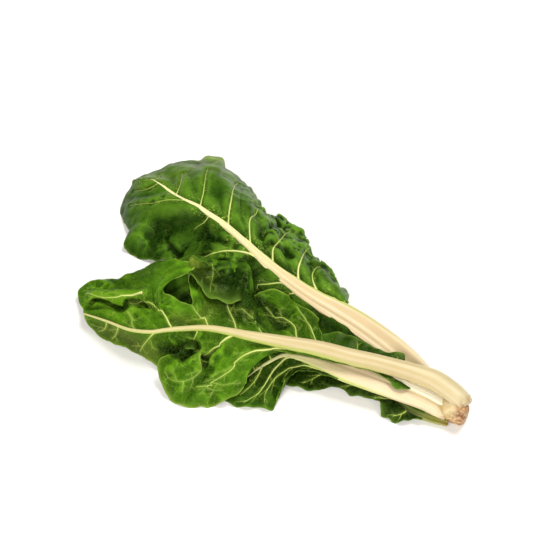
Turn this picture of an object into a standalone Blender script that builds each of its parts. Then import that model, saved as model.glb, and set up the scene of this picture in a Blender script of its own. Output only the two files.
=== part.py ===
"""A small head of white-stalked Swiss chard, cut at the root and lying on its side.

Five leaves grow from one crown. Each has a pale stalk, which runs on as its midrib, and a green blade
that lies along both sides of the midrib. The frame is +X from the leaf tips to the cut crown, +Y to the
back and +Z up, with the origin on the surface below the middle. The guide points are millimetres, and
the meshes metres.
"""

import math

import bmesh
import bpy
import numpy as np

MM = 0.001
CLEARANCE = 0.6  # between a stalk and its blade
BLADE_THICKNESS = 0.8
FLOOR_REST = 0.42  # lowest middle of a blade, so that its underside stays on the surface
SHIFT = (-13.0, 22.0, 0.0)  # from the guide points' origin to the middle of the plant's foot
CROWN_SIDES = 32
CROWN_LOBES = 0.05

CROWN = [  # x, y and z of the middle, radius
    (224.2, -58.5, 10, 6), (224.4, -58.5, 10, 9.4), (227, -58.5, 10, 10.6), (234, -58.5, 9.9, 10.4),
    (238, -58.5, 10, 9), (239.4, -58.5, 10, 7), (240, -58.5, 10, 4),
]

# Each leaf: face is 1 where its upper side is up and -1 where it lies face down. Its blade opens at the
# first rib place and closes round the stalk's end at the second. A rib point is x, y, z of the blade's own
# level, the stalk's width and thickness, its roll in degrees and its curl round the crown in 1/mm. A margin
# goes from the stalk to the tip. A vein is where it leaves the rib and meets the margin, as places in those
# lists, and its middle point. A fold is a line of x, y points, its depth and its half width.
LEAVES = {
    "back_leaf": {
        "face": 1,
        "blade": (5.75, 14.6),
        "columns": 66,
        "rows": 6,
        "sides": 14,
        "channel": 0.16,
        "bulge": 0.0,
        "puff": 3.0,
        "ruffle": (1.6, 17),
        "rib": [
            (233, -46, 6.5, 10, 4.5, 80, 0.03), (214, -46.5, 8.5, 14, 7, 60, 0.02),
            (196, -43.5, 12.5, 19, 8, 35, 0.01), (178, -36, 16.5, 24, 9, 15, 0.01),
            (148, -26, 20, 27, 9.5, 5, 0.01), (109, -18, 24, 27, 9.5, 0, 0.01),
            (79, -16, 28, 25, 9, 0, 0.01), (55, -15, 31, 20, 8.5, 0, 0.01),
            (28, -11, 34, 16, 7.5, 0, 0.01), (-2, -5, 38, 12.5, 6.5, 0, 0.01),
            (-32, 4, 42, 10, 5.5, 0, 0.01), (-67, 15, 45, 8, 4.5, 0, 0.01),
            (-106, 24, 46, 5.5, 3.5, 0, 0.01), (-139, 29, 43, 3.8, 2.6, 0, 0.01),
            (-175, 43, 35, 2.6, 1.8, 0, 0.01), (-197, 48, 27, 2, 1.4, 0, 0.01),
            (-213, 47, 17, 1.4, 1, 0, 0.01),
        ],
        "far": {
            "margin": [
                (86, 0, 26), (80, 6, 20), (75, 20, 13), (60, 30, 5), (52, 31, 10), (46, 43, 3),
                (32, 48, 10), (18, 57, 2), (9, 57, 12), (-4, 75, 3), (-15, 79, 10), (-34, 88, 5),
                (-44, 80, 15), (-49, 68, 26), (-60, 77, 24), (-76, 92, 19), (-96, 108, 12),
                (-116, 121, 5), (-128, 123, 9), (-139, 126, 6), (-147, 132, 13), (-162, 124, 15),
                (-170, 117, 11), (-178, 105, 16), (-188, 97, 15), (-191, 84, 19), (-200, 72, 17),
                (-207, 59, 18), (-213, 47, 17),
            ],
            "veins": [
                (5.75, 0, None), (6.2, 4, (62, 14, 28)), (6.95, 8, (28, 24, 32)),
                (8.0, 10, (-9, 33, 36)), (9.2, 13.3, (-43, 42, 43)), (10.1, 16, (-73, 52, 47)),
                (11.1, 20, (-110, 64, 46)), (12.1, 23, (-142, 61, 41)), (13.1, 25, (-167, 60, 32)),
                (16, 28, None),
            ],
            "folds": [([(28, 20), (20, 38), (16, 56)], 5, 4), ([(-28, 20), (-32, 52), (-28, 80)], 6, 5)],
        },
        "near": {
            "margin": [
                (88, -31, 25.5), (108, -35, 17), (134, -41, 11), (112, -48, 10), (88, -50, 10),
                (66, -51, 10), (42, -45, 13), (22, -42, 15), (8, -45, 15), (-4, -54, 15),
                (-20, -62, 13), (-40, -70, 12), (-60, -74, 9), (-82, -72, 8), (-100, -58, 9),
                (-106, -42, 9), (-100, -29, 8), (-113, -31, 10), (-128, -34, 6), (-146, -37, 1),
                (-160, -37, 0.5), (-168, -34, 5), (-172, -25, 9), (-177, -14, 7), (-187, -5, 4),
                (-200, 4, 1), (-209, 13, 1), (-213, 24, 5), (-213, 34, 10), (-212, 42, 14),
                (-213, 47, 17),
            ],
            "veins": [
                (5.75, 0, None), (6.5, 5, None), (7.3, 7, (26, -29, 22)), (9.1, 14.5, (-56, -18, 31)),
                (10.9, 17, (-96, -7, 27)), (11.6, 22, (-134, -2, 34)), (12.3, 25, (-157, 9, 38)),
                (13.3, 27, (-180, 22, 28)), (16, 30, None),
            ],
            "folds": [
                ([(-98, 17), (-114, 4), (-132, -8), (-146, -17)], 7, 8),
                ([(-101, -14), (-109, -24)], 5, 4),
                ([(-10, -12), (-22, -30), (-24, -52)], 6, 5), ([(-52, -22), (-66, -50)], 4, 5),
            ],
        },
    },
    "top_leaf": {
        "face": -1,
        "blade": (6.0, 16.9),
        "columns": 104,
        "rows": 6,
        "sides": 14,
        "channel": 0.1,
        "bulge": 0.0,
        "puff": 2.6,
        "ruffle": (1.2, 21),
        "rib": [
            (237.3, -51.5, 20.4, 17, 3, -22, 0.08), (235.4, -50.7, 22, 23, 5, -22, 0.08),
            (229, -49, 24, 24, 6, -20, 0.08), (214, -47, 25, 22, 8, -12, 0.06),
            (197, -47, 26.5, 21, 9.5, -6, 0.035), (176, -51.5, 28.5, 19, 10, -3, 0.02),
            (147, -59, 31, 17, 10, 0, 0.01), (121, -67, 33, 16.5, 9.5, 0, 0.01),
            (90, -76, 36.5, 15.5, 9, 0, 0.01), (60, -88, 40, 13, 8, 0, 0.01),
            (30, -100, 44, 9.5, 6.5, 0, 0.01), (13, -105, 45, 7.5, 5.5, 0, 0.01),
            (-11, -112, 44, 6, 4.5, 0, 0.01), (-35, -123, 40, 5, 3.8, 0, 0.01),
            (-48, -130, 37.5, 4.2, 3.2, 0, 0.01), (-61, -137, 34.5, 3.6, 2.8, 0, 0.01),
            (-83, -142, 30, 3, 2.4, 0, 0.01), (-113, -140, 23, 2.4, 1.8, 0, 0.01),
            (-144, -138, 14, 1.6, 1.2, 0, 0.01),
        ],
        "far": {
            "margin": [
                (147, -48.5, 31), (104, -61, 35), (89, -61, 35), (77, -46, 31), (67, -32, 28.6),
                (52, -31, 30.4), (36, -30, 32), (22, -24, 32), (8, -27, 31), (2, -38, 31), (-1, -52, 31.5),
                (-1, -62, 32.5), (-3, -59, 38), (-3, -68, 43), (-10, -74, 44.5), (-23, -76, 45),
                (-32, -77, 45.5), (-43, -71, 45.5), (-53, -66, 45), (-64, -61, 44), (-63, -65, 40),
                (-56, -74, 37.5), (-46, -87, 36), (-57, -89, 36), (-70, -89, 36), (-79, -87, 36),
                (-85, -80, 36), (-88, -73, 37), (-77, -72, 39.5), (-73, -66, 41), (-71, -61, 41.5),
                (-66, -57, 41.5), (-66, -49, 41), (-74, -43, 40.5), (-85, -44, 38), (-97, -41, 30),
                (-106, -40, 24), (-116, -44, 19), (-123, -55, 16),
                (-125, -68, 21), (-130, -80, 24), (-137, -87, 20), (-152, -88, 14), (-161, -96, 15),
                (-169, -104, 11), (-170, -113, 7), (-163, -122, 6), (-152, -130, 10), (-144, -138, 14),
            ],
            "veins": [
                (6.0, 0, None), (7.8, 1.4, None), (8.2, 5.5, (66, -50, 37)), (8.8, 8.3, (33, -57, 34)),
                (9.3, 11, (21, -78, 38.5)), (9.8, 13, (-19, -18, 37)), (10.6, 14.5, (-39, -20, 37.5)),
                (11.3, 16, (-58, -28, 38)), (11.9, 19, (-72, -42, 39)), (12.1, 22, (-29, -98, 40)),
                (13.2, 25, (-61, -106, 38)), (13.38, 27, (-72, -100, 37.5)), (13.5, 31.5, (-86, -85, 39)),
                (13.65, 34.5, (-92, -86, 36)), (13.8, 36, (-104, -80, 33)), (14.0, 40, (-114, -92, 29)),
                (14.4, 44, (-124, -106, 27)), (16.2, 46, (-136, -122, 21)), (18.0, 48, None),
            ],
            "folds": [
                ([(-148, -125), (-126, -121), (-108, -120), (-103, -107), (-93, -109)], 8, 4.5),
                ([(-150, -113), (-129, -111), (-114, -101), (-97, -96)], -3.5, 5),
            ],
        },
        "near": {
            "margin": [
                (147, -69.5, 31), (90, -86, 36), (64, -96.5, 39), (48, -102, 40), (44, -113, 33),
                (44, -128, 25), (45, -137, 18), (42, -143, 12), (36, -149, 8), (31, -156, 5),
                (20, -164, 1), (6, -173, 0.5), (-12, -176, 2), (-25, -172, 7), (-37, -162, 13),
                (-43, -153, 18), (-36, -146, 23), (-26, -141, 28), (-15, -136, 35), (-16, -134, 33),
                (-22, -139, 20), (-30, -147, 8), (-42, -150, 4), (-57, -148, 4), (-73, -145, 1),
                (-88, -145, 2), (-107, -146, 1), (-124, -145, 1), (-137, -143, 6), (-144, -138, 14),
            ],
            "veins": [
                (6.0, 0, None), (8.6, 2.2, None), (9.0, 6, (44, -113, 34)), (9.2, 11, (27, -128, 31)),
                (10.9, 14, (-8, -133, 32)), (12.4, 18, (-15, -124, 40)), (13.3, 20, (-37, -133, 29)),
                (14.7, 23, (-59, -142, 21)), (16.2, 25, (-92, -143, 14)), (17.1, 27, (-116, -143, 12)),
                (18.0, 29, None),
            ],
            "folds": [([(4, -114), (-2, -128), (2, -140)], 5, 4)],
        },
    },
    "front_leaf": {
        "face": 1,
        "blade": (5.0, 12.2),
        "columns": 34,
        "rows": 6,
        "sides": 12,
        "channel": 0.0,
        "bulge": 0.3,
        "puff": 2.2,
        "ruffle": (1.2, 18),
        "rib": [
            (223.7, -65, 10, 10.5, 6, 0, 0.01), (213, -65.5, 12.5, 12, 7, 0, 0.01),
            (201, -66, 14, 12, 7.5, 2, 0.01), (180, -69.5, 17, 14, 8, 8, 0.01),
            (146, -75.5, 20.5, 14.5, 8, 10, 0.01), (119, -79, 22, 14.5, 7.5, 5, 0.01),
            (94, -80, 22.5, 12, 6.5, 0, 0.01), (76, -82, 22, 9, 5, 0, 0.01),
            (61, -87, 21, 6, 3.8, 0, 0.01), (52, -97, 18, 4.4, 3, 0, 0.01),
            (45, -108, 14.5, 3.4, 2.4, 0, 0.01), (40, -119, 11, 2.6, 2, 0, 0.01),
            (33, -131, 7.5, 2, 1.5, 0, 0.01), (26, -140, 5, 1.4, 1, 0, 0.01),
        ],
        "far": {
            "margin": [
                (119, -70, 23), (84, -73, 24), (66, -70, 19), (50, -72, 14), (34, -81, 10),
                (20, -95, 9), (12, -111, 8), (12, -125, 6), (18, -135, 5), (26, -140, 5),
            ],
            "veins": [
                (5.0, 0, None), (7.0, 1.5, None), (8.3, 3, (56, -80, 20)), (9.6, 5, (36, -98, 16)),
                (11.0, 7, (28, -118, 11)), (13, 9, None),
            ],
            "folds": [],
        },
        "near": {
            "margin": [
                (119, -87.5, 22), (92, -91, 21), (80, -97, 18), (74, -106, 14), (74, -120, 8),
                (76, -137, 1), (62, -142, 3), (50, -148, 1), (38, -151, 1), (27, -148, 2),
                (26, -140, 5),
            ],
            "veins": [
                (5.0, 0, None), (5.9, 1.8, None), (7.0, 4.6, (72, -100, 16)), (9.2, 7, (55, -124, 9)),
                (11.4, 8.4, (40, -138, 6)), (13, 10, None),
            ],
            "folds": [],
        },
    },
    "under_leaf": {
        "face": 1,
        "blade": (1.4, 8.3),
        "columns": 38,
        "rows": 6,
        "sides": 10,
        "channel": 0.08,
        "bulge": 0.0,
        "puff": 1.4,
        "ruffle": (1.3, 15),
        "rib": [
            (223.7, -70.5, 3.8, 7.5, 3.2, 0, 0.01), (212, -72, 4.8, 8, 3.8, 0, 0.01),
            (192, -75, 7, 8, 4.4, 0, 0.01), (172, -72, 8, 8, 4.5, 0, 0.01),
            (149, -70, 7, 7.5, 4, 0, 0.01), (122, -69, 7.5, 7, 3.8, 0, 0.01),
            (94, -71, 7.5, 6, 3.2, 0, 0.01), (70, -75, 6.5, 4, 2.4, 0, 0.01),
            (52, -79, 5, 2.6, 1.6, 0, 0.01), (40, -83, 3, 1.6, 1, 0, 0.01),
        ],
        "far": {
            "margin": [
                (205, -69, 5), (186, -60, 4), (165, -52, 4), (140, -46, 4), (115, -45, 2.5),
                (90, -48, 4), (68, -53, 5), (50, -66, 4), (40, -83, 3),
            ],
            "veins": [
                (1.4, 0, None), (3.0, 2, (165, -60, 6)), (4.2, 4, (128, -56, 6)),
                (5.6, 6, (86, -62, 6.5)), (7.2, 7.2, (58, -70, 5)), (9, 8, None),
            ],
            "folds": [],
        },
        "near": {
            "margin": [
                (205, -79.5, 6.5), (196, -82, 5), (190, -88, 5), (184, -91, 1), (176, -91, 1),
                (170, -91, 3), (165, -87, 6), (161, -81, 8), (153, -80, 4), (143, -80, 1),
                (131, -84, 2), (120, -84, 5), (110, -88, 2), (99, -97, 0.5), (85, -103, 3),
                (71, -105, 0.5), (58, -101, 1), (46, -93, 1), (40, -83, 3),
            ],
            "veins": [
                (1.4, 0, None), (2.2, 3.5, (188, -83, 7)), (3.2, 7, (166, -78, 9)),
                (4.4, 10, (134, -77, 7)), (5.6, 13, (100, -84, 6)), (6.8, 16, (70, -89, 4.5)),
                (9, 18, None),
            ],
            "folds": [],
        },
    },
    "inner_leaf": {
        "face": 1,
        "blade": (2.8, 6.3),
        "columns": 26,
        "rows": 5,
        "sides": 10,
        "channel": 0.0,
        "bulge": 0.25,
        "puff": 1.0,
        "ruffle": (0.8, 16),
        "rib": [
            (223.7, -58.5, 17, 5.5, 4, 0, 0.01), (211, -57, 18.5, 6.5, 4.6, 0, 0.01),
            (200, -56, 19.5, 7, 4.6, 0, 0.01), (180, -56.5, 21, 7.5, 4.6, 0, 0.01),
            (154, -54.5, 22.5, 7.5, 4.6, 0, 0.01), (125, -55.5, 23, 6, 4, 0, 0.01),
            (97, -61, 22.5, 4.5, 3, 0, 0.01), (72, -62, 21, 2, 1.4, 0, 0.01),
        ],
        "far": {
            "margin": [
                (182, -52, 21.5), (172, -44, 24), (165, -37, 25.5), (162, -31.5, 26), (155, -33.5, 26),
                (145, -38, 25.5), (130, -37, 25), (113, -39, 24.5), (93, -39, 23.5), (78, -50, 21),
                (72, -62, 21),
            ],
            "veins": [(2.8, 0, None), (3.7, 3, (166, -46, 25)), (5.0, 6, (124, -46, 25)), (7, 10, None)],
            "folds": [],
        },
        "near": {
            "margin": [
                (182, -65, 22), (178, -69, 24), (171, -71, 24.8), (164, -68, 26), (154, -66, 26.5),
                (140, -67, 26.5), (122, -69, 26.5), (104, -70, 25.5), (86, -69, 23), (72, -62, 21),
            ],
            "veins": [(2.8, 0, None), (3.5, 3, (168, -65, 26)), (5.1, 6.5, (116, -64, 25)), (7, 9, None)],
            "folds": [],
        },
    },
}

MATERIALS = {  # colour, roughness
    "crown": ((0.72, 0.58, 0.36), 0.6),
    "stalk": ((0.86, 0.78, 0.52), 0.35),
    "blade": ((0.05, 0.16, 0.02), 0.4),
}


def smooth(points, at):
    """Places on the Catmull-Rom curve through points, at fractional indices."""
    points = np.asarray(points, float)
    padded = np.vstack([2 * points[0] - points[1], points, 2 * points[-1] - points[-2]])
    at = np.clip(np.asarray(at, float), 0, len(points) - 1)
    start = np.minimum(at.astype(int), len(points) - 2)
    t = (at - start)[:, None]
    a, b, c, d = (padded[start + k] for k in range(4))
    square, cube = 2 * a - 5 * b + 4 * c - d, 3 * b - a - 3 * c + d
    return 0.5 * (2 * b + (c - a) * t + square * t**2 + cube * t**3)


def unit(vectors):
    """The same directions with length 1."""
    return vectors / np.maximum(np.linalg.norm(vectors, axis=-1, keepdims=True), 1e-9)


def rib_frame(leaf, at):
    """Point, side to the back, upward normal and section of a leaf's rib at fractional places."""
    step = 0.02
    rib = smooth(leaf["rib"], at)
    along = unit((smooth(leaf["rib"], at + step) - smooth(leaf["rib"], at - step))[:, :3])
    level = unit(np.cross(along, [0.0, 0.0, 1.0]))
    upward = np.cross(level, along)
    roll = np.radians(rib[:, 5])[:, None]
    side = level * np.cos(roll) + upward * np.sin(roll)
    normal = upward * np.cos(roll) - level * np.sin(roll)
    return rib[:, :3], side, normal, rib[:, 3:]


def margin_travel(leaf, half, at):
    """Length of a margin from the stalk to fractional places along the rib."""
    fine = np.linspace(leaf["blade"][0], len(leaf["rib"]) - 1, 800)
    rib_at, margin_at = np.array([vein[:2] for vein in half["veins"]], float).T
    edge = smooth(half["margin"], np.interp(fine, rib_at, margin_at))
    length = np.concatenate([[0], np.linalg.norm(np.diff(edge, axis=0), axis=1)])
    return np.interp(at, fine, np.cumsum(length))


def rib_places(leaf):
    """Places along the rib for the blade's columns, closer together where its margins are long."""
    fine = np.linspace(leaf["blade"][0], len(leaf["rib"]) - 1, 800)
    travel = margin_travel(leaf, leaf["far"], fine) + margin_travel(leaf, leaf["near"], fine)
    travel += np.linspace(0, 9, len(fine))
    places = np.interp(np.linspace(0, travel[-1], leaf["columns"]), travel, fine)
    places[np.argmin(abs(places - leaf["blade"][1]))] = leaf["blade"][1]
    return places


def fold_depth(x, y, line, depth, half_width):
    """How far a fold lowers the points x, y: depth times a bell curve of the distance to its line."""
    distance = np.full(x.shape, 1e9)
    for (ax, ay), (bx, by) in zip(line, line[1:]):
        dx, dy = bx - ax, by - ay
        along = np.clip(((x - ax) * dx + (y - ay) * dy) / (dx * dx + dy * dy), 0, 1)
        distance = np.minimum(distance, np.hypot(x - ax - along * dx, y - ay - along * dy))
    return depth * np.exp(-((distance / half_width) ** 2))


def half_blade(leaf, half, places, share, outward):
    """Grid of points on one side of the rib: places along it, and shares of the way out to the margin.

    Each line across is the parabola through the stalk's flank, the vein's middle point and the margin.
    Between the side veins the blade is puffed out towards its upper side, its margin is ruffled, and folds
    run over it.
    """
    point, side, normal, section = rib_frame(leaf, places)
    open_here = places < leaf["blade"][1] - 1e-6
    reach = np.where(open_here, section[:, 0] / 2 + CLEARANCE, 0.0)
    inner = point + outward * side * reach[:, None]
    veins = half["veins"]
    rib_at, margin_at = np.array([vein[:2] for vein in veins], float).T
    station = np.interp(places, rib_at, np.arange(len(veins)))
    outer = smooth(half["margin"], np.interp(places, rib_at, margin_at))
    rib_points = smooth(leaf["rib"], rib_at)[:, :3]
    edge_points = smooth(half["margin"], margin_at)
    middles = [vein[2] or (rib_points[k] + edge_points[k]) / 2 for k, vein in enumerate(veins)]
    middle = smooth(np.array(middles, float), station)
    plain = np.array([vein[2] is None for vein in veins], float)
    blend = np.interp(station, np.arange(len(veins)), plain)[:, None]
    middle = middle * (1 - blend) + (inner + outer) / 2 * blend
    v = share[None, :, None]
    grid = (
        (2 * v - 1) * (v - 1) * inner[:, None]
        + 4 * v * (1 - v) * middle[:, None]
        + v * (2 * v - 1) * outer[:, None]
    )
    across = np.linalg.norm(outer - inner, axis=1)
    between = np.diff(rib_at)[np.minimum(station.astype(int), len(veins) - 2)]
    puff = leaf["puff"] * leaf["face"] * np.abs(np.sin(np.pi * station)) * np.minimum(1, across / 40)
    puff *= np.minimum(1, between / 0.6)
    grid[..., 2] += puff[:, None] * np.sin(np.pi * np.sqrt(share))[None, :]
    height, wavelength = leaf["ruffle"]
    turn = 2 * np.pi * margin_travel(leaf, half, places) / wavelength
    ruffle = height * (np.sin(turn) + 0.5 * np.sin(0.62 * turn + 1.3)) * np.minimum(1, across / 12)
    grid[..., 2] += ruffle[:, None] * share[None, :] ** 3
    to_tip = np.minimum(1, 4 * (len(leaf["rib"]) - 1 - places))
    fade = np.minimum(1, share / 0.15)[None, :] * to_tip[:, None]
    for line, depth, half_width in half["folds"]:
        grid[..., 2] -= fade * fold_depth(grid[..., 0], grid[..., 1], line, depth, half_width)
    grid[..., 2] = np.maximum(grid[..., 2], FLOOR_REST)
    return grid


def new_object(name, kind, bm, collection):
    """An object with its own material from a finished bmesh in millimetres, placed in metres."""
    for vert in bm.verts:
        vert.co = [(c + s) * MM for c, s in zip(vert.co, SHIFT)]
    mesh = bpy.data.meshes.new(name)
    bm.to_mesh(mesh)
    bm.free()
    material = bpy.data.materials.new(name)
    material.use_nodes = True
    shader = material.node_tree.nodes["Principled BSDF"]
    colour, roughness = MATERIALS[kind]
    shader.inputs["Base Color"].default_value = (*colour, 1)
    shader.inputs["Roughness"].default_value = roughness
    shader.inputs["Metallic"].default_value = 0
    mesh.materials.append(material)
    mesh.shade_smooth()
    mesh.set_sharp_from_angle(angle=math.radians(60))
    thing = bpy.data.objects.new(name, mesh)
    collection.objects.link(thing)
    return thing


def shaped_grid(points):
    """A bmesh grid whose vertices take the places in points, an array of rows by columns by 3."""
    rows, columns = points.shape[:2]
    bm = bmesh.new()
    bmesh.ops.create_grid(bm, x_segments=columns - 1, y_segments=rows - 1, size=1)
    bm.verts.ensure_lookup_table()
    for vert, place in zip(bm.verts, points.reshape(-1, 3)):
        vert.co = place
    return bm


def closed_tube(rings):
    """A closed bmesh tube through rings, an array of rings by sides by 3."""
    wrapped = np.concatenate([rings, rings[:, :1]], axis=1)
    bm = shaped_grid(wrapped)
    bmesh.ops.remove_doubles(bm, verts=bm.verts, dist=1e-4)
    bmesh.ops.holes_fill(bm, edges=[edge for edge in bm.edges if edge.is_boundary])
    bmesh.ops.triangulate(bm, faces=bm.faces)
    bmesh.ops.recalc_face_normals(bm, faces=bm.faces)
    return bm


def make_blade(name, leaf, collection):
    """A blade: one sheet in two halves that part along the stalk and join beyond its end."""
    places = rib_places(leaf)
    share = np.linspace(0, 1, leaf["rows"]) ** 0.85
    far = half_blade(leaf, leaf["far"], places, share, 1)
    near = half_blade(leaf, leaf["near"], places, share, -1)
    bm = shaped_grid(np.concatenate([near[:, ::-1], far], axis=1))
    columns, middle = 2 * leaf["rows"], leaf["rows"] - 1
    parted = np.nonzero(places < leaf["blade"][1] - 1e-6)[0]
    corners = [{row * columns + middle, (row + 1) * columns + middle + 1} for row in parted]
    indices = {face: {vert.index for vert in face.verts} for face in bm.faces}
    slit = [face for face in bm.faces if any(pair <= indices[face] for pair in corners)]
    bmesh.ops.delete(bm, geom=slit, context="FACES")
    bmesh.ops.remove_doubles(bm, verts=bm.verts, dist=0.02)
    bmesh.ops.triangulate(bm, faces=bm.faces)
    bmesh.ops.recalc_face_normals(bm, faces=bm.faces)
    blade = new_object(f"{name}_blade", "blade", bm, collection)
    shell = blade.modifiers.new("thickness", "SOLIDIFY")
    shell.thickness = BLADE_THICKNESS * MM
    shell.offset = 0
    return blade


def stalk_rings(leaf):
    """Rings of points round a stalk: rounded below, with a shallow channel between two rims above.

    The flat section is bent round a circle of radius 1 / curl, so that the foot clasps the crown.
    """
    places = rib_places(leaf)
    end = places[places < leaf["blade"][1] - 1e-6][-1]
    at = np.concatenate([np.arange(0, end - 0.2, 0.5), [end]])
    point, side, normal, section = rib_frame(leaf, at)
    width, depth, curl = section[:, 0, None], section[:, 1, None], section[:, 3, None]
    angle = np.linspace(0, 2 * np.pi, leaf["sides"], endpoint=False)
    across = np.cos(angle)[None, :] * width / 2
    low = np.sin(angle)
    rim = -leaf["channel"] * np.cos(1.4 * np.pi * np.abs(np.cos(angle))) * (1 - np.cos(angle) ** 6)
    rise = np.where(low >= 0, -np.abs(low) ** 0.8, rim + leaf["bulge"] * np.abs(low))[None, :] * depth
    radius = 1 / curl - rise
    sideways = radius * np.sin(curl * across)
    inward = 1 / curl - radius * np.cos(curl * across)
    upward = leaf["face"] * normal[:, None] * inward[..., None]
    return point[:, None] + side[:, None] * sideways[..., None] + upward


def make_stalk(name, leaf, collection):
    """A stalk, running on as the blade's midrib."""
    return new_object(f"{name}_stalk", "stalk", closed_tube(stalk_rings(leaf)), collection)


def make_crown(collection):
    """The cut root end, a lobed dome behind the stalks' feet, flat where it rests."""
    angle = np.linspace(0, 2 * np.pi, CROWN_SIDES, endpoint=False)
    x, y, z, radius = (column[:, None] for column in np.array(CROWN).T)
    lobes = 1 + CROWN_LOBES * np.sin(5 * angle + np.pi) * np.cos(angle / 2 + 0.4) ** 2
    rings = np.stack(
        [
            x + 0 * angle,
            y + radius * lobes * np.cos(angle),
            np.maximum(z + radius * lobes * np.sin(angle), 0),
        ],
        axis=-1,
    )
    return new_object("crown", "crown", closed_tube(rings), collection)


def main():
    for thing in list(bpy.data.objects):
        bpy.data.objects.remove(thing)
    collection = bpy.data.collections.new("swiss_chard")
    bpy.context.scene.collection.children.link(collection)
    make_crown(collection)
    for name, leaf in LEAVES.items():
        make_stalk(name, leaf, collection)
        make_blade(name, leaf, collection)


main()
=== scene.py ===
# Swiss chard on its side: waved leaves, ribbed stalks and the cut root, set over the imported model
import math

import bpy
import numpy as np
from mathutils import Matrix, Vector


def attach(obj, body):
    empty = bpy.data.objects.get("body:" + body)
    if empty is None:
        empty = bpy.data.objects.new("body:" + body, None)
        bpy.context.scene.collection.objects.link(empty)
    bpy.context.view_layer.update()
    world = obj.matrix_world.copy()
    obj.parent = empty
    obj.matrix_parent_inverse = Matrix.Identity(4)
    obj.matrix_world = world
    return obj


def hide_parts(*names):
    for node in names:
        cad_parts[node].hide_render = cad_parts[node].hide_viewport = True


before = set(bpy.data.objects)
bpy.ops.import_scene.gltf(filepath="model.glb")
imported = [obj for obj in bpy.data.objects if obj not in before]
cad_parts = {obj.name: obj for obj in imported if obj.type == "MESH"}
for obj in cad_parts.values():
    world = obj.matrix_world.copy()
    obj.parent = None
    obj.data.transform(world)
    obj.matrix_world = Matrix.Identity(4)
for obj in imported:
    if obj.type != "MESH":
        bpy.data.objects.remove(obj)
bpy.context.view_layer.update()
print("packed model loaded:", len(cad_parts), "nodes")

mm = 0.001
plantShift = np.array([-13.0, 22.0, 0.0])  # from the guide points' origin to the model's, in mm
floorGap = 0.05  # mm between the lowest leaf surface and the floor
levelRib = (0, 0.01)  # roll in degrees and curl in 1/mm, for a rib's row that gives none
fineSteps = 2400  # steps along a rib when lengths are measured
drawnSteps = 12  # steps of a drawn line for each point given
waveTurns = np.array([127.1, 311.7, 74.7])  # large numbers that make a sine look random
waveSeed, waveHeight = 19.19, 43758.5453


# Shape helpers: all lengths in mm until a mesh is written

def unit(vectors):
    # a vector divided by its own length
    return vectors / np.maximum(np.linalg.norm(vectors, axis=-1, keepdims=True), 1e-9)


def smoothLine(points, at):
    # a curve through points: each stretch is a cubic whose slope at a point is half the step between the two
    # points beside it
    points = np.asarray(points, float)
    padded = np.vstack([2 * points[0] - points[1], points, 2 * points[-1] - points[-2]])
    at = np.clip(np.asarray(at, float), 0, len(points) - 1)
    start = np.minimum(at.astype(int), len(points) - 2)
    t = (at - start)[:, None]
    a, b, c, d = (padded[start + k] for k in range(4))
    square, cube = 2 * a - 5 * b + 4 * c - d, 3 * b - a - 3 * c + d
    return 0.5 * (2 * b + (c - a) * t + square * t**2 + cube * t**3)


def easeStep(low, high, x):
    # 0 below low, 1 above high, and 3t squared minus 2t cubed between
    t = np.clip((x - low) / (high - low), 0, 1)
    return t * t * (3 - 2 * t)


def bell(distance, halfWidth):
    # 1 at no distance, and e to the power of minus the square of the distance in half widths
    return np.exp(-((distance / halfWidth) ** 2))


def ramp(x, full):
    # x as a share of full, and 1 beyond it
    return np.minimum(1, x / full)


def hashed(cells, seed):
    # the fraction left of a large sine, which looks random but is the same each run
    return np.modf(np.abs(np.sin(cells @ waveTurns + waveSeed * seed) * waveHeight))[0]


def softNoise(points, size, seed):
    # random values at the corners of cubes of side size, eased from corner to corner; from -1 to 1
    home = np.floor(points / size)
    t = easeStep(0, 1, points / size - home)
    total = np.zeros(points.shape[:-1])
    for corner in np.ndindex(2, 2, 2):
        weight = np.prod(np.where(np.array(corner) == 1, t, 1 - t), axis=-1)
        total += weight * hashed(home + corner, seed)
    return 2 * total - 1


def creased(points, size, seed):
    # sharp ridges where soft noise passes through zero, at one size and at half of it; from -1 to 1
    first, second = (1 - 2 * np.abs(softNoise(points, size / k, seed + k)) ** 0.7 for k in (1, 2))
    return 0.65 * first + 0.35 * second


def lineDistance(points, line):
    # shortest way from each point to a line of straight stretches
    best = np.full(points.shape[:-1], 1e9)
    for a, b in zip(line[:-1], line[1:]):
        along = np.clip(((points - a) @ (b - a)) / max((b - a) @ (b - a), 1e-9), 0, 1)
        best = np.minimum(best, np.linalg.norm(points - a - along[..., None] * (b - a), axis=-1))
    return best


def runLength(line):
    # length run along a line of points up to each of them
    return np.concatenate([[0], np.cumsum(np.linalg.norm(np.diff(line, axis=0), axis=1))])


def gridNormals(grid):
    # cross product of the steps outwards and along, so that it points up on a level leaf
    along = np.gradient(grid, axis=0)
    across = np.gradient(grid, axis=1)
    return unit(np.cross(across, along))


def gridAt(grid, path):
    # straight-line blend of a grid's four nearest points, at pairs of a row and a column between them
    row = np.clip(path[:, 0], 0, grid.shape[0] - 1.001)
    column = np.clip(path[:, 1], 0, grid.shape[1] - 1.001)
    i, j = row.astype(int), column.astype(int)
    u, v = (row - i)[:, None], (column - j)[:, None]
    low = grid[i, j] * (1 - v) + grid[i, j + 1] * v
    high = grid[i + 1, j] * (1 - v) + grid[i + 1, j + 1] * v
    return low * (1 - u) + high * u


def gridPath(places, share, line):
    # a line drawn in places along the rib and shares out, smoothed, in the grid's rows and columns
    fine = smoothLine(line, np.linspace(0, len(line) - 1, drawnSteps * len(line)))
    row = np.interp(fine[:, 0], places, np.arange(len(places)))
    column = np.interp(fine[:, 1], share, np.arange(len(share)))
    return np.stack([row, column], axis=1)


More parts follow.
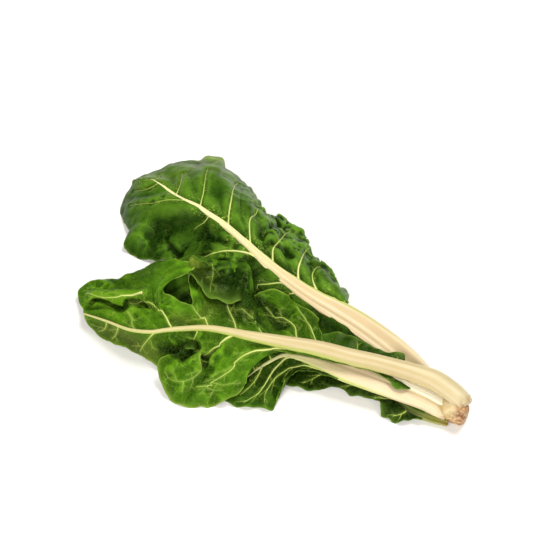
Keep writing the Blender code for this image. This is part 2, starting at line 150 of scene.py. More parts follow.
def boxMean(values, reach):
    # mean over a window that reaches so many rows and columns to each side, from running sums
    for axis, r in enumerate(reach):
        padded = np.pad(values, [(r + 1, r) if k == axis else (0, 0) for k in (0, 1)], mode="edge")
        total = np.cumsum(padded, axis=axis)
        first = np.arange(values.shape[axis])
        values = (np.take(total, first + 2 * r + 1, axis) - np.take(total, first, axis)) / (2 * r + 1)
    return values


def placed(name, data):
    # an object for a mesh, a lamp or a camera, in the scene
    thing = bpy.data.objects.new(name, data)
    bpy.context.scene.collection.objects.link(thing)
    return thing


def meshPiece(name, points, faces, values, materials):
    # a smooth mesh from mm points and lists of corners, with one number a point for each named value
    mesh = bpy.data.meshes.new(name)
    mesh.from_pydata(((points + plantShift) * mm).tolist(), [], faces)
    for label, numbers in values.items():
        attribute = mesh.attributes.new(label, "FLOAT", "POINT")
        attribute.data.foreach_set("value", np.asarray(numbers, np.float32))
    mesh.shade_smooth()
    mesh.validate()
    for material in materials:
        mesh.materials.append(material)
    return placed(name, mesh)


def closedTube(rings):
    # points and faces of rings joined side by side, with a point in the middle of each end
    count, sides = rings.shape[:2]
    ids = np.arange(count * sides).reshape(count, sides)
    turned = np.roll(ids, -1, axis=1)
    walls = np.stack([ids[:-1], turned[:-1], turned[1:], ids[1:]], axis=-1).reshape(-1, 4)
    points = np.concatenate([rings.reshape(-1, 3), rings[:1].mean(axis=1), rings[-1:].mean(axis=1)])
    first, last = count * sides, count * sides + 1
    starts = np.stack([turned[0], ids[0], np.full(sides, first)], axis=-1)
    ends = np.stack([ids[-1], turned[-1], np.full(sides, last)], axis=-1)
    return points, walls, np.concatenate([starts, ends])


def tubePiece(name, rings, values, material):
    # a closed tube, whose end points take the mean of their ring's numbers
    points, walls, caps = closedTube(rings)
    numbers = {key: np.concatenate([value.reshape(-1), [value[0].mean(), value[-1].mean()]])
               for key, value in values.items()}
    return meshPiece(name, points, walls.tolist() + caps.tolist(), numbers, [material])


# Leaf surfaces

bladeForm = {
    "puffAcross": 40,  # mm across a half blade from which the puffs between its veins are full
    "puffGap": 0.6,  # veins closer than this along the rib have lower puffs between them
    "ruffleAcross": 12,  # mm across from which the margin's waves are full
    "slowWave": (0.62, 1.3, 0.5),  # pace, start and height of the second wave, beside the first one's
    "foldFrom": 0.15,  # share of the way out where folds reach their depth
    "ribTravel": 0.35,  # part of the rib's length in the spacing of the grid's rows
    "shareCurve": 0.9,  # power that sets the grid's columns closer near the margin
}


def ribFrame(leaf, at):
    # the rib's point, its side to the back, its upward normal and its width, thickness, roll and curl
    step = 0.02
    rib = smoothLine(leaf["rib"], at)
    along = unit((smoothLine(leaf["rib"], at + step) - smoothLine(leaf["rib"], at - step))[:, :3])
    level = unit(np.cross(along, [0.0, 0.0, 1.0]))
    upward = np.cross(level, along)
    roll = np.radians(rib[:, 5])[:, None]
    side = level * np.cos(roll) + upward * np.sin(roll)
    normal = upward * np.cos(roll) - level * np.sin(roll)
    return rib[:, :3], side, normal, rib[:, 3:]


def marginTravel(leaf, half, at):
    # length of the margin's curve from the stalk to places along the rib
    fine = np.linspace(leaf["blade"][0], len(leaf["rib"]) - 1, fineSteps)
    ribAt, marginAt = np.array([vein[:2] for vein in half["veins"]], float).T
    edge = smoothLine(half["margin"], np.interp(fine, ribAt, marginAt))
    return np.interp(at, fine, runLength(edge))


def ribPlaces(leaf, half):
    # places at equal steps of the margin's length and a part of the rib's, moved to meet the veins
    fine = np.linspace(leaf["blade"][0], len(leaf["rib"]) - 1, fineSteps)
    ribTravel = runLength(smoothLine(leaf["rib"], fine)[:, :3])
    travel = marginTravel(leaf, half, fine) + bladeForm["ribTravel"] * ribTravel
    places = np.interp(np.linspace(0, travel[-1], half["columns"]), travel, fine)
    for place in [leaf["blade"][1]] + [vein[0] for vein in half["veins"][1:-1]]:
        places[np.argmin(abs(places - place))] = place
    return places


def tipFade(leaf, places):
    # 1, falling evenly to 0 over the last quarter of a row of the rib
    return np.minimum(1, 4 * (len(leaf["rib"]) - 1 - places))


def quiet(leaf, places):
    # 1 at the stalk, and less beyond a place along the rib, where the leaf is smoother
    low, high, least = leaf["smoothTip"]
    return 1 - (1 - least) * easeStep(low, high, places)


def halfBlade(leaf, half, places, share, outward):
    # across: the parabola through the stalk's flank, the vein's middle point and the margin. Then the puff
    # between veins, |sin| of the vein count, the margin's waves, growing with the cube of the way out, and
    # folds, each its depth times a bell curve of the way in plan to its line
    point, side, normal, section = ribFrame(leaf, places)
    openHere = places < leaf["blade"][1] - 1e-6
    reach = np.where(openHere, section[:, 0] / 2 - np.minimum(leaf["overlap"], section[:, 0] / 4), 0.0)
    inner = point + outward * side * reach[:, None]
    veins = half["veins"]
    ribAt, marginAt = np.array([vein[:2] for vein in veins], float).T
    count = np.arange(len(veins))
    station = np.interp(places, ribAt, count)
    outer = smoothLine(half["margin"], np.interp(places, ribAt, marginAt))
    ribPoints = smoothLine(leaf["rib"], ribAt)[:, :3]
    edgePoints = smoothLine(half["margin"], marginAt)
    middles = [vein[2:] or (ribPoints[k] + edgePoints[k]) / 2 for k, vein in enumerate(veins)]
    middle = smoothLine(np.array(middles, float), station)
    plain = np.array([len(vein) == 2 for vein in veins], float)
    blend = np.interp(station, count, plain)[:, None]
    middle = middle * (1 - blend) + (inner + outer) / 2 * blend
    v = share[None, :, None]
    grid = ((2 * v - 1) * (v - 1) * inner[:, None] + 4 * v * (1 - v) * middle[:, None]
            + v * (2 * v - 1) * outer[:, None])
    across = np.linalg.norm(outer - inner, axis=1)
    between = np.diff(ribAt)[np.minimum(station.astype(int), len(veins) - 2)]
    puff = leaf["puff"] * leaf["face"] * np.abs(np.sin(np.pi * station))
    puff *= ramp(across, bladeForm["puffAcross"])
    puff *= ramp(between, bladeForm["puffGap"])
    grid[..., 2] += puff[:, None] * np.sin(np.pi * np.sqrt(share))[None, :]
    height, wavelength = leaf["ruffle"]
    pace, start, slowHeight = bladeForm["slowWave"]
    turn = 2 * np.pi * marginTravel(leaf, half, places) / wavelength
    ruffle = height * (np.sin(turn) + slowHeight * np.sin(pace * turn + start))
    ruffle *= ramp(across, bladeForm["ruffleAcross"])
    ruffle *= quiet(leaf, places)
    grid[..., 2] += ruffle[:, None] * share[None, :] ** 3
    fade = ramp(share, bladeForm["foldFrom"])[None, :] * tipFade(leaf, places)[:, None]
    for line, depth, halfWidth in half["folds"]:
        grid[..., 2] -= fade * (depth * bell(lineDistance(grid[..., :2], np.array(line, float)), halfWidth))
    return grid, across


sprayForm = {  # how the small veins leave a stem
    "start": (0.3, 0.5),  # bare start of a stem and its random part, in gaps
    "end": 0.2,  # bare end of a stem, in gaps
    "shift": 0.4,  # random shift of a vein's root, in gaps
    "turn": (0.75, 0.5),  # least share of the angle, and its random part
    "size": (0.6, 0.8),  # least share of the length, and its random part
    "straight": 0.7,  # share of the way that keeps to the angle
    "leastStep": 0.12,  # mm between the grid's points
    "points": 12, "fewest": 4,  # points of a whole vein, and of the shortest one that is dropped
    "low": (0.5, 0.3), "high": (2, 2.5),  # rows and columns at the grid's edges that are kept free
}
markReach = (26, 12)  # rows and columns round a vein in which the way to it is worked out
farWay = 50.0  # mm, stands for a point with no vein near it
limitEase = 0.06  # soft ends of a patch in places, and half its soft side in shares
bladeNoise = {  # size in mm, what is added to the seed, middle and swing
    "patchy": (40, 17, 0.75, 0.55), "lumps": (13, 19, 0.7, 0.6), "edgeWave": (9, 31, 0, 1),
    "ragged": (7, 43, 0, 1), "crinkle": (14, 37),
    "wrinkles": ((26, 1.0, 21, 0), (11, 0.45, 27, 1), (5.5, 0.15, 33, 1)),  # with height, and 1 if calmed
    "crumples": ((0.8, 0, 41), (0.25, 6.5, 61)), "fold": 42,  # share, size (0 is the leaf's own) and seed
}
bladeSkin = {  # a From is a share of the way out where a form is full, a Width is in mm
    # the ridge, pocket, relief, valley and blister entries shape the painted highlight and painted shade
    "patchyRange": (0.15, 1.3), "calmFrom": 0.1, "calmLoss": 0.35, "grooveWidth": 3.0, "grooveFrom": 0.06,
    "wrinkleFrom": 0.15, "crinkleFrom": 0.1, "crumpleFull": 2.5, "ridge": 0.05, "pocket": (0.2, 0.5),
    "narrowWidth": 14, "tuckWidth": 14, "tuckReach": 4, "reliefFull": 0.7, "valleyShare": 0.5,
    "veinWidth": 1.6, "veinLoss": 0.6, "twigWidth": 0.9, "ribsideWidth": 15, "rimWidth": 1.2,
    "litBlister": (0.6, 0.4),  # shares of the blisters and of the fine ones in what the paint takes up
    "ridgeShare": 0.8, "pocketShare": 0.6,
    "mainTone": (0.12, 0.28, 0.9, 0.25), "mainSides": 8,  # tone: base, rise for each mm, most, and the tip's
}


def branchPaths(grid, stems, spray, random):
    # small veins, from even steps along each stem and by turns to its two sides: a parabola in mm that
    # leaves at an angle and bends towards the margin, turned into rows and columns by the grid's steps there
    gap, longest, widest, outward = spray[:4]
    first, least, most = sprayForm["start"], sprayForm["turn"], sprayForm["size"]
    size = np.stack([np.linalg.norm(np.gradient(grid, axis=k), axis=-1) for k in (0, 1)], axis=-1)
    t = np.linspace(0, 1, sprayForm["points"])[:, None]
    paths = []
    for stem in stems:
        travel = runLength(gridAt(grid, stem))
        start = gap * (first[0] + first[1] * random.random())
        at = np.arange(start, travel[-1] - sprayForm["end"] * gap, gap)
        turn = random.integers(2)
        for n, run in enumerate(at + gap * sprayForm["shift"] * (random.random(len(at)) - 0.5)):
            near, ahead = (np.array([np.interp(run + step, travel, stem[:, k]) for k in (0, 1)])
                           for step in (0, 1))
            local = np.maximum(gridAt(size, near[None])[0], sprayForm["leastStep"])
            heading = unit((ahead - near) * local)
            angle = np.radians(widest * (least[0] + least[1] * random.random())) * (-1) ** (n + turn)
            cos, sin = math.cos(angle), math.sin(angle)
            way = np.array([heading[0] * cos - heading[1] * sin, heading[0] * sin + heading[1] * cos])
            length = longest * (most[0] + most[1] * random.random())
            end = length * (sprayForm["straight"] * way + np.array([0, outward]))
            path = near + (t * (1 - t) * length * way + t**2 * end) / local
            inside = (path > sprayForm["low"]) & (path < np.array(grid.shape[:2]) - sprayForm["high"])
            inside = inside.all(axis=1)
            stop = len(path) if inside.all() else int(np.argmin(inside))
            if stop > sprayForm["fewest"]:
                paths.append(path[:stop])
    return paths


def wayTo(grid, paths):
    # shortest way in mm from each of the grid's points to a set of veins, worked out in a window round each
    best = np.full(grid.shape[:2], farWay)
    for path in paths:
        low = np.maximum(np.floor(path.min(axis=0)).astype(int) - markReach, 0)
        high = np.ceil(path.max(axis=0)).astype(int) + markReach + 1
        window = (slice(low[0], high[0]), slice(low[1], high[1]))
        best[window] = np.minimum(best[window], lineDistance(grid[window], gridAt(grid, path[::2])))
    return best


def patches(grid, places, share, spots):
    # the sum of bell curves of the distance to each line of a list, with its own strength and half width,
    # kept between two places along the rib and beyond a share of the way out where these are given
    total = np.zeros(grid.shape[:2])
    for line, strength, halfWidth, *limits in spots:
        path = gridPath(places, share, line)
        spot = strength * bell(lineDistance(grid, gridAt(grid, path[::3])), halfWidth)
        if limits:
            low, high, beyond = (*limits, 0)[:3]
            kept = easeStep(low, low + limitEase, places) * (1 - easeStep(high - limitEase, high, places))
            spot *= kept[:, None]
            spot *= easeStep(beyond - limitEase, beyond + limitEase, share)[None, :]
        total += spot
    return total


def dressHalf(leaf, half, places, share, outward, random):
    # the half blade raised along its normals: blisters, 1 less a bell curve of the way to the nearest vein,
    # a groove along each main vein, wrinkles, crinkles, crumples, dents, and waves near the margin. Then the
    # ragged margin, the tuck under the stalk, and the values that the paint takes up, among them the masks
    # of painted highlight on crests and blister tops, painted shade in hollows and patches, and painted
    # glints
    grid, across = halfBlade(leaf, half, places, share, outward)
    normals = gridNormals(grid) * outward
    seed = leaf["seed"] + 25 * (1 - outward)
    out = share[None, :]
    way = across[:, None] * out
    form = bladeSkin

    def noise(key):
        # soft noise at the blade's points, about its middle
        size, part, middle, swing = bladeNoise[key]
        return middle + swing * softNoise(grid, size, seed + part)

    mains = [gridPath(places, share, line) for line, width in half["lines"]]
    branches = branchPaths(grid, mains, leaf["branch"], random)
    twigs = branchPaths(grid, branches, leaf["twig"], random)
    mainWay, branchWay, twigWay = (wayTo(grid, paths) for paths in (mains, branches, twigs))
    branchWay = np.minimum(mainWay, branchWay)
    twigWay = np.minimum(branchWay, twigWay)
    blister, blisterWay, fine, fineWay = leaf["savoy"]
    still = quiet(leaf, places)[:, None]
    calm = still * np.clip(noise("patchy"), *form["patchyRange"])
    calm = calm * ramp(out, form["calmFrom"]) * (1 - form["calmLoss"] * out**2)
    lumps = noise("lumps")
    dome, small = 1 - bell(branchWay, blisterWay), 1 - bell(twigWay, fineWay)
    rise = leaf["face"] * calm * (blister * dome * lumps + fine * small)
    groove = leaf["face"] * leaf["trough"] * bell(mainWay, form["grooveWidth"])
    rise -= groove * ramp(out, form["grooveFrom"])
    for size, height, part, calmed in bladeNoise["wrinkles"]:
        wave = still**calmed * height * leaf["wrinkle"] * softNoise(grid, size, seed + part)
        rise += wave * ramp(out, form["wrinkleFrom"])
    size, part = bladeNoise["crinkle"]
    crinkle = leaf["face"] * leaf["crinkle"] * creased(grid, size, seed + part)
    rise -= crinkle * ramp(out, form["crinkleFrom"]) * still
    rise += leaf["edgeWave"] * noise("edgeWave") * out**4 * still
    crumple = patches(grid, places, share, half["crumples"])
    large, little = (much * creased(grid, size or leaf["crease"], seed + part)
                     for much, size, part in bladeNoise["crumples"])
    rise += crumple * (large + little)
    fold = np.abs(softNoise(grid, leaf["crease"], seed + bladeNoise["fold"]))
    crumpled = np.clip(crumple / form["crumpleFull"], 0, 1)
    # on the crumples, the sharp ridges take painted highlight and the pits painted shade
    ridge = crumpled * bell(fold, form["ridge"])
    pocket = crumpled * easeStep(*form["pocket"], fold)
    rise -= patches(grid, places, share, half["dents"])
    narrow = ramp(across, form["narrowWidth"])[:, None]
    dressed = grid + normals * (rise * narrow * tipFade(leaf, places)[:, None])[..., None]
    torn = leaf["ragged"] * noise("ragged") * out**6 * narrow
    dressed += unit(np.gradient(grid, axis=1)) * torn[..., None]
    tuck = leaf["tuck"] * ramp(smoothLine(leaf["rib"], places)[:, 3], form["tuckWidth"])[:, None]
    dressed[..., 2] -= tuck * bell(way, form["tuckReach"]) * narrow
    dressed[..., 2] = np.maximum(dressed[..., 2], leaf["thickness"] / 2 + floorGap)
    height = dressed[..., 2]
    # the crests of this relief take painted highlight, and its hollows painted shade
    relief = (rise - boxMean(rise, leaf["window"])) / form["reliefFull"]
    relief += form["valleyShare"] * (height - boxMean(height, leaf["valley"])) / leaf["valleyDepth"]
    blisters, fineOnes = form["litBlister"]
    values = {
        "vein": bell(mainWay, form["veinWidth"]) * (1 - form["veinLoss"] * out),
        "twig": bell(twigWay, form["twigWidth"]),
        # painted highlight on the tops of the blisters
        "litBlister": np.clip(calm * (blisters * dome * lumps + fineOnes * small), 0, 1),
        "litCrest": np.clip(relief, 0, 1) + form["ridgeShare"] * ridge,
        "shadedHollow": np.clip(-relief + form["pocketShare"] * pocket, 0, 1),
        # near the rib, where the painted glints go
        "ribside": bell(way, form["ribsideWidth"]) + 0 * rise,
        "rim": np.exp(-(across[:, None] * (1 - out)) / form["rimWidth"]),
        # painted shade over the listed patches: pockets, gaps and parts that lie under others
        "paintedShade": np.clip(patches(grid, places, share, half["paintedShades"]), 0, 1),
        "tint": np.clip(patches(grid, places, share, half["tints"]), 0, 1),
    }
    base, slope, top, tip = form["mainTone"]
    veins = [(path, width, (min(top, base + slope * width[0]), tip), form["mainSides"])
             for path, (line, width) in zip(mains, half["lines"])]
    for paths, spray in ((branches, leaf["branch"]), (twigs, leaf["twig"])):
        veins += [(path, *spray[4:]) for path in paths]
    return dressed, values, [(gridAt(dressed, path), gridAt(normals, path), *rest) for path, *rest in veins]


def makeHalf(name, leaf, half, outward, materials):
    # one half of the blade, a sheet from the rib out to the margin that ends in one point at the leaf's tip.
    # Outward is 1 for the far half and -1 for the near one; the two materials are for the sheet's two sides
    random = np.random.default_rng(leaf["seed"] + outward)
    places = ribPlaces(leaf, half)
    share = np.linspace(0, 1, half["rows"]) ** bladeForm["shareCurve"]
    points, values, veins = dressHalf(leaf, half, places, share, outward, random)
    ids = np.arange(points.shape[0] * points.shape[1]).reshape(points.shape[:2])
    ids[-1] = ids[-1, 0]
    if outward == -1:
        ids = ids[:, ::-1]
    quads = np.stack([ids[:-1, :-1], ids[:-1, 1:], ids[1:, 1:], ids[1:, :-1]], axis=-1).reshape(-1, 4)
    used, quads = np.unique(quads, return_inverse=True)
    faces = [tuple(dict.fromkeys(quad)) for quad in quads.reshape(-1, 4).tolist()]
    piece = meshPiece(name, points.reshape(-1, 3)[used], [face for face in faces if len(face) > 2],
                      {key: value.reshape(-1)[used] for key, value in values.items()}, materials)
    shell = piece.modifiers.new("thickness", "SOLIDIFY")
    shell.thickness = leaf["thickness"] * mm
    shell.offset = 0
    shell.material_offset = 1
    shell.material_offset_rim = 0
    return piece, veins


veinForm = {
    "step": 0.9, "fewest": 4,  # mm between rings, and the fewest rings
    "taper": 1.6,
    "flare": (0.45, 3),  # share of the width added at the root, and how many mm it lasts
    "end": (0.25, 2.5),  # share of the width left at the very tip, and mm to lose the rest
    "sunk": 0.4,  # half height that the blade hides, in thicknesses
}


def makeVeins(name, leaf, veins, material):
    # each vein is an ellipse carried along its line, half sunk in the blade. Its width falls from root to
    # tip as (1 - t) to the power of the taper, with a flare over the first few mm; its tone falls evenly
    gathered, walls, caps, tones = [], [], [], []
    count = 0
    for line, upward, (rootWidth, tipWidth), (rootTone, tipTone), sides in veins:
        travel = runLength(line)
        steps = max(veinForm["fewest"], int(travel[-1] / veinForm["step"]))
        run = np.linspace(0, travel[-1], steps)
        line, upward = (np.stack([np.interp(run, travel, values[:, k]) for k in range(3)], axis=1)
                        for values in (line, upward))
        upward = unit(upward)
        t = run / run[-1]
        width = tipWidth + (rootWidth - tipWidth) * (1 - t) ** veinForm["taper"]
        flare, lasting = veinForm["flare"]
        width = width + flare * rootWidth * np.exp(-run / lasting)
        left, closing = veinForm["end"]
        width *= np.minimum(1, left + (run[-1] - run) / closing)
        side = unit(np.cross(np.gradient(line, axis=0), upward))
        angle = np.linspace(0, 2 * np.pi, sides, endpoint=False)
        height = veinForm["sunk"] * leaf["thickness"] + leaf["veinHeight"] * width
        rings = line[:, None] + side[:, None] * (np.cos(angle)[:, None] * width[:, None, None] / 2)
        rings = rings + upward[:, None] * (np.sin(angle)[:, None] * height[:, None, None])
        rings[..., 2] = np.maximum(rings[..., 2], floorGap)
        points, wall, cap = closedTube(rings)
        gathered.append(points)
        walls.append(wall + count)
        caps.append(cap + count)
        tone = rootTone + (tipTone - rootTone) * t
        tones.append(np.concatenate([np.repeat(tone, sides), [tone[0], tone[-1]]]))
        count += len(points)
    faces = np.concatenate(walls).tolist() + np.concatenate(caps).tolist()
    return meshPiece(name, np.concatenate(gathered), faces, {"tone": np.concatenate(tones)}, [material])


stalkForm = {
    "fineSteps": 3000,  # steps along the rib when its length is measured
    "belly": 0.8,  # power of the arc below, where 1 would be half an ellipse
    "rimTurn": 1.4,  # half waves of the channel and its rims, over half the stalk
    "stretch": (3, 40),  # radius round the stalk, and mm along it, for the noise's places
    "drift": (1.7, 3), "ribDrift": 3,  # noise that bends the ribs, its size and seed, and how far it does
    "dent": (1.1, 5), "dentStretch": (1, 1, 1.6),  # the dents' noise, and how its places are stretched
    "ribWidth": 12, "bumpWidth": 10,  # mm, stalk widths from which ribs and dents are full
    "bumpAcross": 0.3, "steep": 3,  # share of a bump that goes sideways, and how fast one starts at a side
    "seam": (0.5, 1.6), "seamPaint": (0.6, 1.1),  # depth and half width, and its paint's drift and width
    "seamRun": (10, 50),  # mm from the foot over which the seam starts
    "foot": 22, "cut": 5,  # mm, how far the paler foot and the corky cut run
}


def makeStalk(name, leaf, material):
    # rings round the rib: half an ellipse below, and above it a channel between two rims or a bulge, bent
    # round a circle of radius 1 over curl, with fine ribs as a sine of the angle and long soft dents
    form = stalkForm
    fine = np.linspace(0, len(leaf["rib"]) - 1.01, form["fineSteps"])
    length = runLength(smoothLine(leaf["rib"], fine)[:, :3])
    at = np.interp(np.arange(0, length[-1], leaf["step"]), length, fine)
    run = np.interp(at, fine, length)[:, None]
    point, side, normal, section = ribFrame(leaf, at)
    width, depth, curl = section[:, 0, None], section[:, 1, None], section[:, 3, None]
    angle = np.linspace(0, 2 * np.pi, leaf["sides"], endpoint=False)[None, :]
    cos, low = np.cos(angle), np.sin(angle)
    inner = 1 - cos**6
    rim = -leaf["channel"] * np.cos(form["rimTurn"] * np.pi * np.abs(cos)) * inner
    rise = np.where(low >= 0, -np.abs(low) ** form["belly"], rim + leaf["bulge"] * np.abs(low)) * depth
    around, along = form["stretch"]
    spot = np.stack([around * cos + 0 * run, around * low + 0 * run, run / along + 0 * angle], axis=-1)
    size, part = form["drift"]
    drift = softNoise(spot, size, leaf["seed"] + part)
    ribs = np.sin(leaf["ribs"] * angle + form["ribDrift"] * drift) * ramp(width, form["ribWidth"])
    size, part = form["dent"]
    dents = leaf["dent"] * softNoise(spot * form["dentStretch"], size, leaf["seed"] + part)
    bumps = (leaf["ribHeight"] * ribs + dents) * (ramp(width, form["bumpWidth"]) * inner)
    across = cos * (width / 2 + form["bumpAcross"] * bumps)
    rise = rise + bumps * np.where(low >= 0, -1, 1) * np.minimum(1, np.abs(low) * form["steep"])
    depth, halfWidth = form["seam"]
    seamHere = easeStep(*form["seamRun"], run)
    rise -= depth * bell(across - leaf["seam"], halfWidth) * (low < 0) * seamHere
    radius = 1 / curl - rise
    sideways = radius * np.sin(curl * across)
    inward = 1 / curl - radius * np.cos(curl * across)
    rings = (point[:, None] + side[:, None] * sideways[..., None]
             + leaf["face"] * normal[:, None] * inward[..., None])
    rings[..., 2] = np.maximum(rings[..., 2], floorGap)
    wander, halfWidth = form["seamPaint"]
    values = {
        "edge": np.clip(leaf["greenSide"] * cos, 0, 1) + 0 * run,
        "seam": bell(across - leaf["seam"] - wander * drift, halfWidth) * (low < 0) * seamHere,
        "groove": np.clip(0.5 - 0.5 * ribs, 0, 1),
        "foot": np.exp(-run / form["foot"]) + 0 * angle,
        "cut": bell(run, form["cut"]) + 0 * angle,
        "leafward": easeStep(0, 1, run / length[-1]) + 0 * angle,
    }
    return tubePiece(name, rings, values, material)


# Materials: node helpers

def setInputs(tree, node, inputs):
    # each input takes a value, or another node's output
    for key, value in inputs.items():
        if isinstance(value, bpy.types.NodeSocket):
            tree.links.new(value, node.inputs[key])
        else:
            node.inputs[key].default_value = value


def addNode(tree, kind, inputs=(), **settings):
    # a node with its settings and its inputs
    node = tree.nodes.new(kind)
    for key, value in settings.items():
        setattr(node, key, value)
    setInputs(tree, node, dict(inputs))
    return node


def paint(colour):
    # a colour with its opacity, or another node's output as it is
    return colour if isinstance(colour, bpy.types.NodeSocket) else (*colour, 1)


def mixed(tree, share, first, second):
    # the first colour with a share of the second laid over it
    return addNode(tree, "ShaderNodeMix", {0: share, 6: paint(first), 7: paint(second)},
                   data_type="RGBA", blend_type="MIX", clamp_result=True).outputs[2]


def sums(tree, operation, first, second):
    # two values joined by one operation, such as a product
    return addNode(tree, "ShaderNodeMath", {0: first, 1: second}, operation=operation).outputs[0]


def spread(tree, value, low, high, toLow=0.0, toHigh=1.0):
    # a value mapped evenly from one range to another and kept inside it
    return addNode(tree, "ShaderNodeMapRange", {"Value": value, "From Min": low, "From Max": high,
                                                "To Min": toLow, "To Max": toHigh}).outputs["Result"]


def grain(tree, place, scale, detail=3.0):
    # soft noise of so many waves to the metre
    return addNode(tree, "ShaderNodeTexNoise", {"Vector": place, "Scale": scale, "Detail": detail,
                                                "Roughness": 0.55}).outputs["Fac"]


def clouds(tree, place, scale, detail, *ranges):
    # noise with one range of it spread over another
    return spread(tree, grain(tree, place, scale, detail), *ranges)


def carried(tree, label):
    # a value that the mesh carries
    return addNode(tree, "ShaderNodeAttribute", attribute_name=label).outputs["Fac"]


def laid(tree, below, label, share, above):
    # a colour laid over another where the mesh carries a value, as strongly as the value times a share
    return mixed(tree, sums(tree, "MULTIPLY", carried(tree, label), share), below, above)


def raised(tree, height, strength, metres, below=()):
    # the normal of a relief so many metres high, over the normal of another one where it is given
    return addNode(tree, "ShaderNodeBump", {"Height": height, "Strength": strength, "Distance": metres}
                   | dict(below)).outputs["Normal"]


def newMaterial(name):
    # a material with its node tree, its shader and the place of each point on the object, in metres
    material = bpy.data.materials.new(name)
    material.use_nodes = True
    tree = material.node_tree
    shader = tree.nodes["Principled BSDF"]
    place = addNode(tree, "ShaderNodeTexCoord").outputs["Object"]
    return material, tree, shader, place


leafGrain = {  # waves to the metre, detail, and the range that is spread out
    "wide": (22, 3.0, 0.35, 0.65), "fine": (160, 3.0, 0.3, 0.7), "field": (60, 3.0, 0.45, 0.6),
    "glints": (420, 2.0, 0.56, 0.62), "gloss": (90, 3.0, 0.3, 0.7), "folds": (48, 1.0), "skin": (1100, 2.0),
    "net": 300.0,
}
# the strength of the painted shade patches, and the blister heights that take painted highlight
leafPaint = {"fine": 0.3, "paintedShade": 0.9, "lineWidth": 0.006, "laceWidth": 0.09, "litBlister": (0.15, 0.9)}
leafRelief = {"net": 0.0005, "folds": 0.008, "skin": 0.0001, "skinStrength": 0.2}  # heights in metres


def leafMaterial(name, look):
    # green in three tones by noise, painted highlight on crests and blister tops, painted shade in hollows
    # and over listed patches, painted glints by the rib, pale lines where soft noise passes its middle, a
    # fine net, and pale veins and margin
    material, tree, shader, place = newMaterial(name)
    green = mixed(tree, clouds(tree, place, *leafGrain["wide"]), look["deep"], look["middle"])
    fine = sums(tree, "MULTIPLY", clouds(tree, place, *leafGrain["fine"]), leafPaint["fine"])
    green = mixed(tree, fine, green, look["light"])
    # painted highlight on the tops of the blisters
    litBlister = spread(tree, carried(tree, "litBlister"), *leafPaint["litBlister"])
    green = mixed(tree, sums(tree, "MULTIPLY", litBlister, look["pillowLight"]), green, look["light"])
    # painted highlight on crests, painted shade in hollows, then the tint
    for label, above in (("litCrest", "light"), ("shadedHollow", "dark"), ("tint", "tint")):
        green = laid(tree, green, label, look[label + "Share"], look[above])
    # painted glints: pale specks in clusters near the rib, where small blisters would catch the light
    glints = clouds(tree, place, *leafGrain["glints"], 0.0, look["glintShare"])
    glints = sums(tree, "MULTIPLY", glints, clouds(tree, place, *leafGrain["field"]))
    green = mixed(tree, sums(tree, "MULTIPLY", glints, carried(tree, "ribside")), green, look["glintColour"])
    folds = sums(tree, "SUBTRACT", grain(tree, place, *leafGrain["folds"]), 0.5)
    folds = addNode(tree, "ShaderNodeMath", {0: folds}, operation="ABSOLUTE").outputs[0]
    lines = spread(tree, folds, 0.0, leafPaint["lineWidth"], look["lineShare"], 0.0)
    green = mixed(tree, lines, green, look["vein"])
    # painted shade over the listed patches
    green = laid(tree, green, "paintedShade", leafPaint["paintedShade"], look["dark"])
    net = addNode(tree, "ShaderNodeTexVoronoi", {"Vector": place, "Scale": leafGrain["net"]},
                  feature="DISTANCE_TO_EDGE").outputs["Distance"]
    lace = spread(tree, net, 0.0, leafPaint["laceWidth"], look["netShare"], 0.0)
    green = mixed(tree, lace, green, look["vein"])
    twig, vein = (sums(tree, "MULTIPLY", carried(tree, label), look[label + "Share"])
                  for label in ("twig", "vein"))
    green = mixed(tree, sums(tree, "MAXIMUM", twig, vein), green, look["vein"])
    normal = raised(tree, net, look["bump"], leafRelief["net"])
    normal = raised(tree, folds, look["pleat"], leafRelief["folds"], {"Normal": normal})
    skin = grain(tree, place, *leafGrain["skin"])
    setInputs(tree, shader, {
        "Base Color": laid(tree, green, "rim", look["rimShare"], look["rimColour"]),
        "Roughness": clouds(tree, place, *leafGrain["gloss"], *look["rough"]),
        "Specular IOR Level": look["specular"],
        "Specular Tint": paint(look["glossTint"]),
        "Normal": raised(tree, skin, leafRelief["skinStrength"], leafRelief["skin"], {"Normal": normal}),
    })
    return material


veinCloud = (90, 3.0, 0.3, 0.7, -0.12, 0.12)  # waves to the metre, detail, range, and what it adds to a tone


def veinMaterial(name, look):
    # from the rib's cream at a vein's root to a light green at its tip
    material, tree, shader, place = newMaterial(name)
    tone = sums(tree, "ADD", carried(tree, "tone"), clouds(tree, place, *veinCloud))
    tone = spread(tree, tone, 0.0, 1.0)
    pale = mixed(tree, spread(tree, tone, *look["middleSpan"]), look["tip"], look["middle"])
    pale = mixed(tree, spread(tree, tone, *look["rootSpan"]), pale, look["root"])
    setInputs(tree, shader, {"Base Color": pale, "Roughness": 0.45, "Specular IOR Level": 0.3})
    return material


stalkGrain = {  # waves to the metre, detail, the range that is spread out, and for specks the range it gives
    "warm": (30, 3.0, 0.35, 0.65), "cork": (230, 4.0, 0.4, 0.56), "speck": (420, 4.0, 0.66, 0.74, 0.0, 0.35),
    "skin": (900, 3.0),
}
stalkShares = {
    "warm": 0.5, "young": (0.0, 0.9), "groove": 0.15, "seam": 0.5, "foot": 0.6,
    "green": (0.08, 0.3, 0.0, 0.85),  # between these shares of the stalk's length, from and to these shares
}


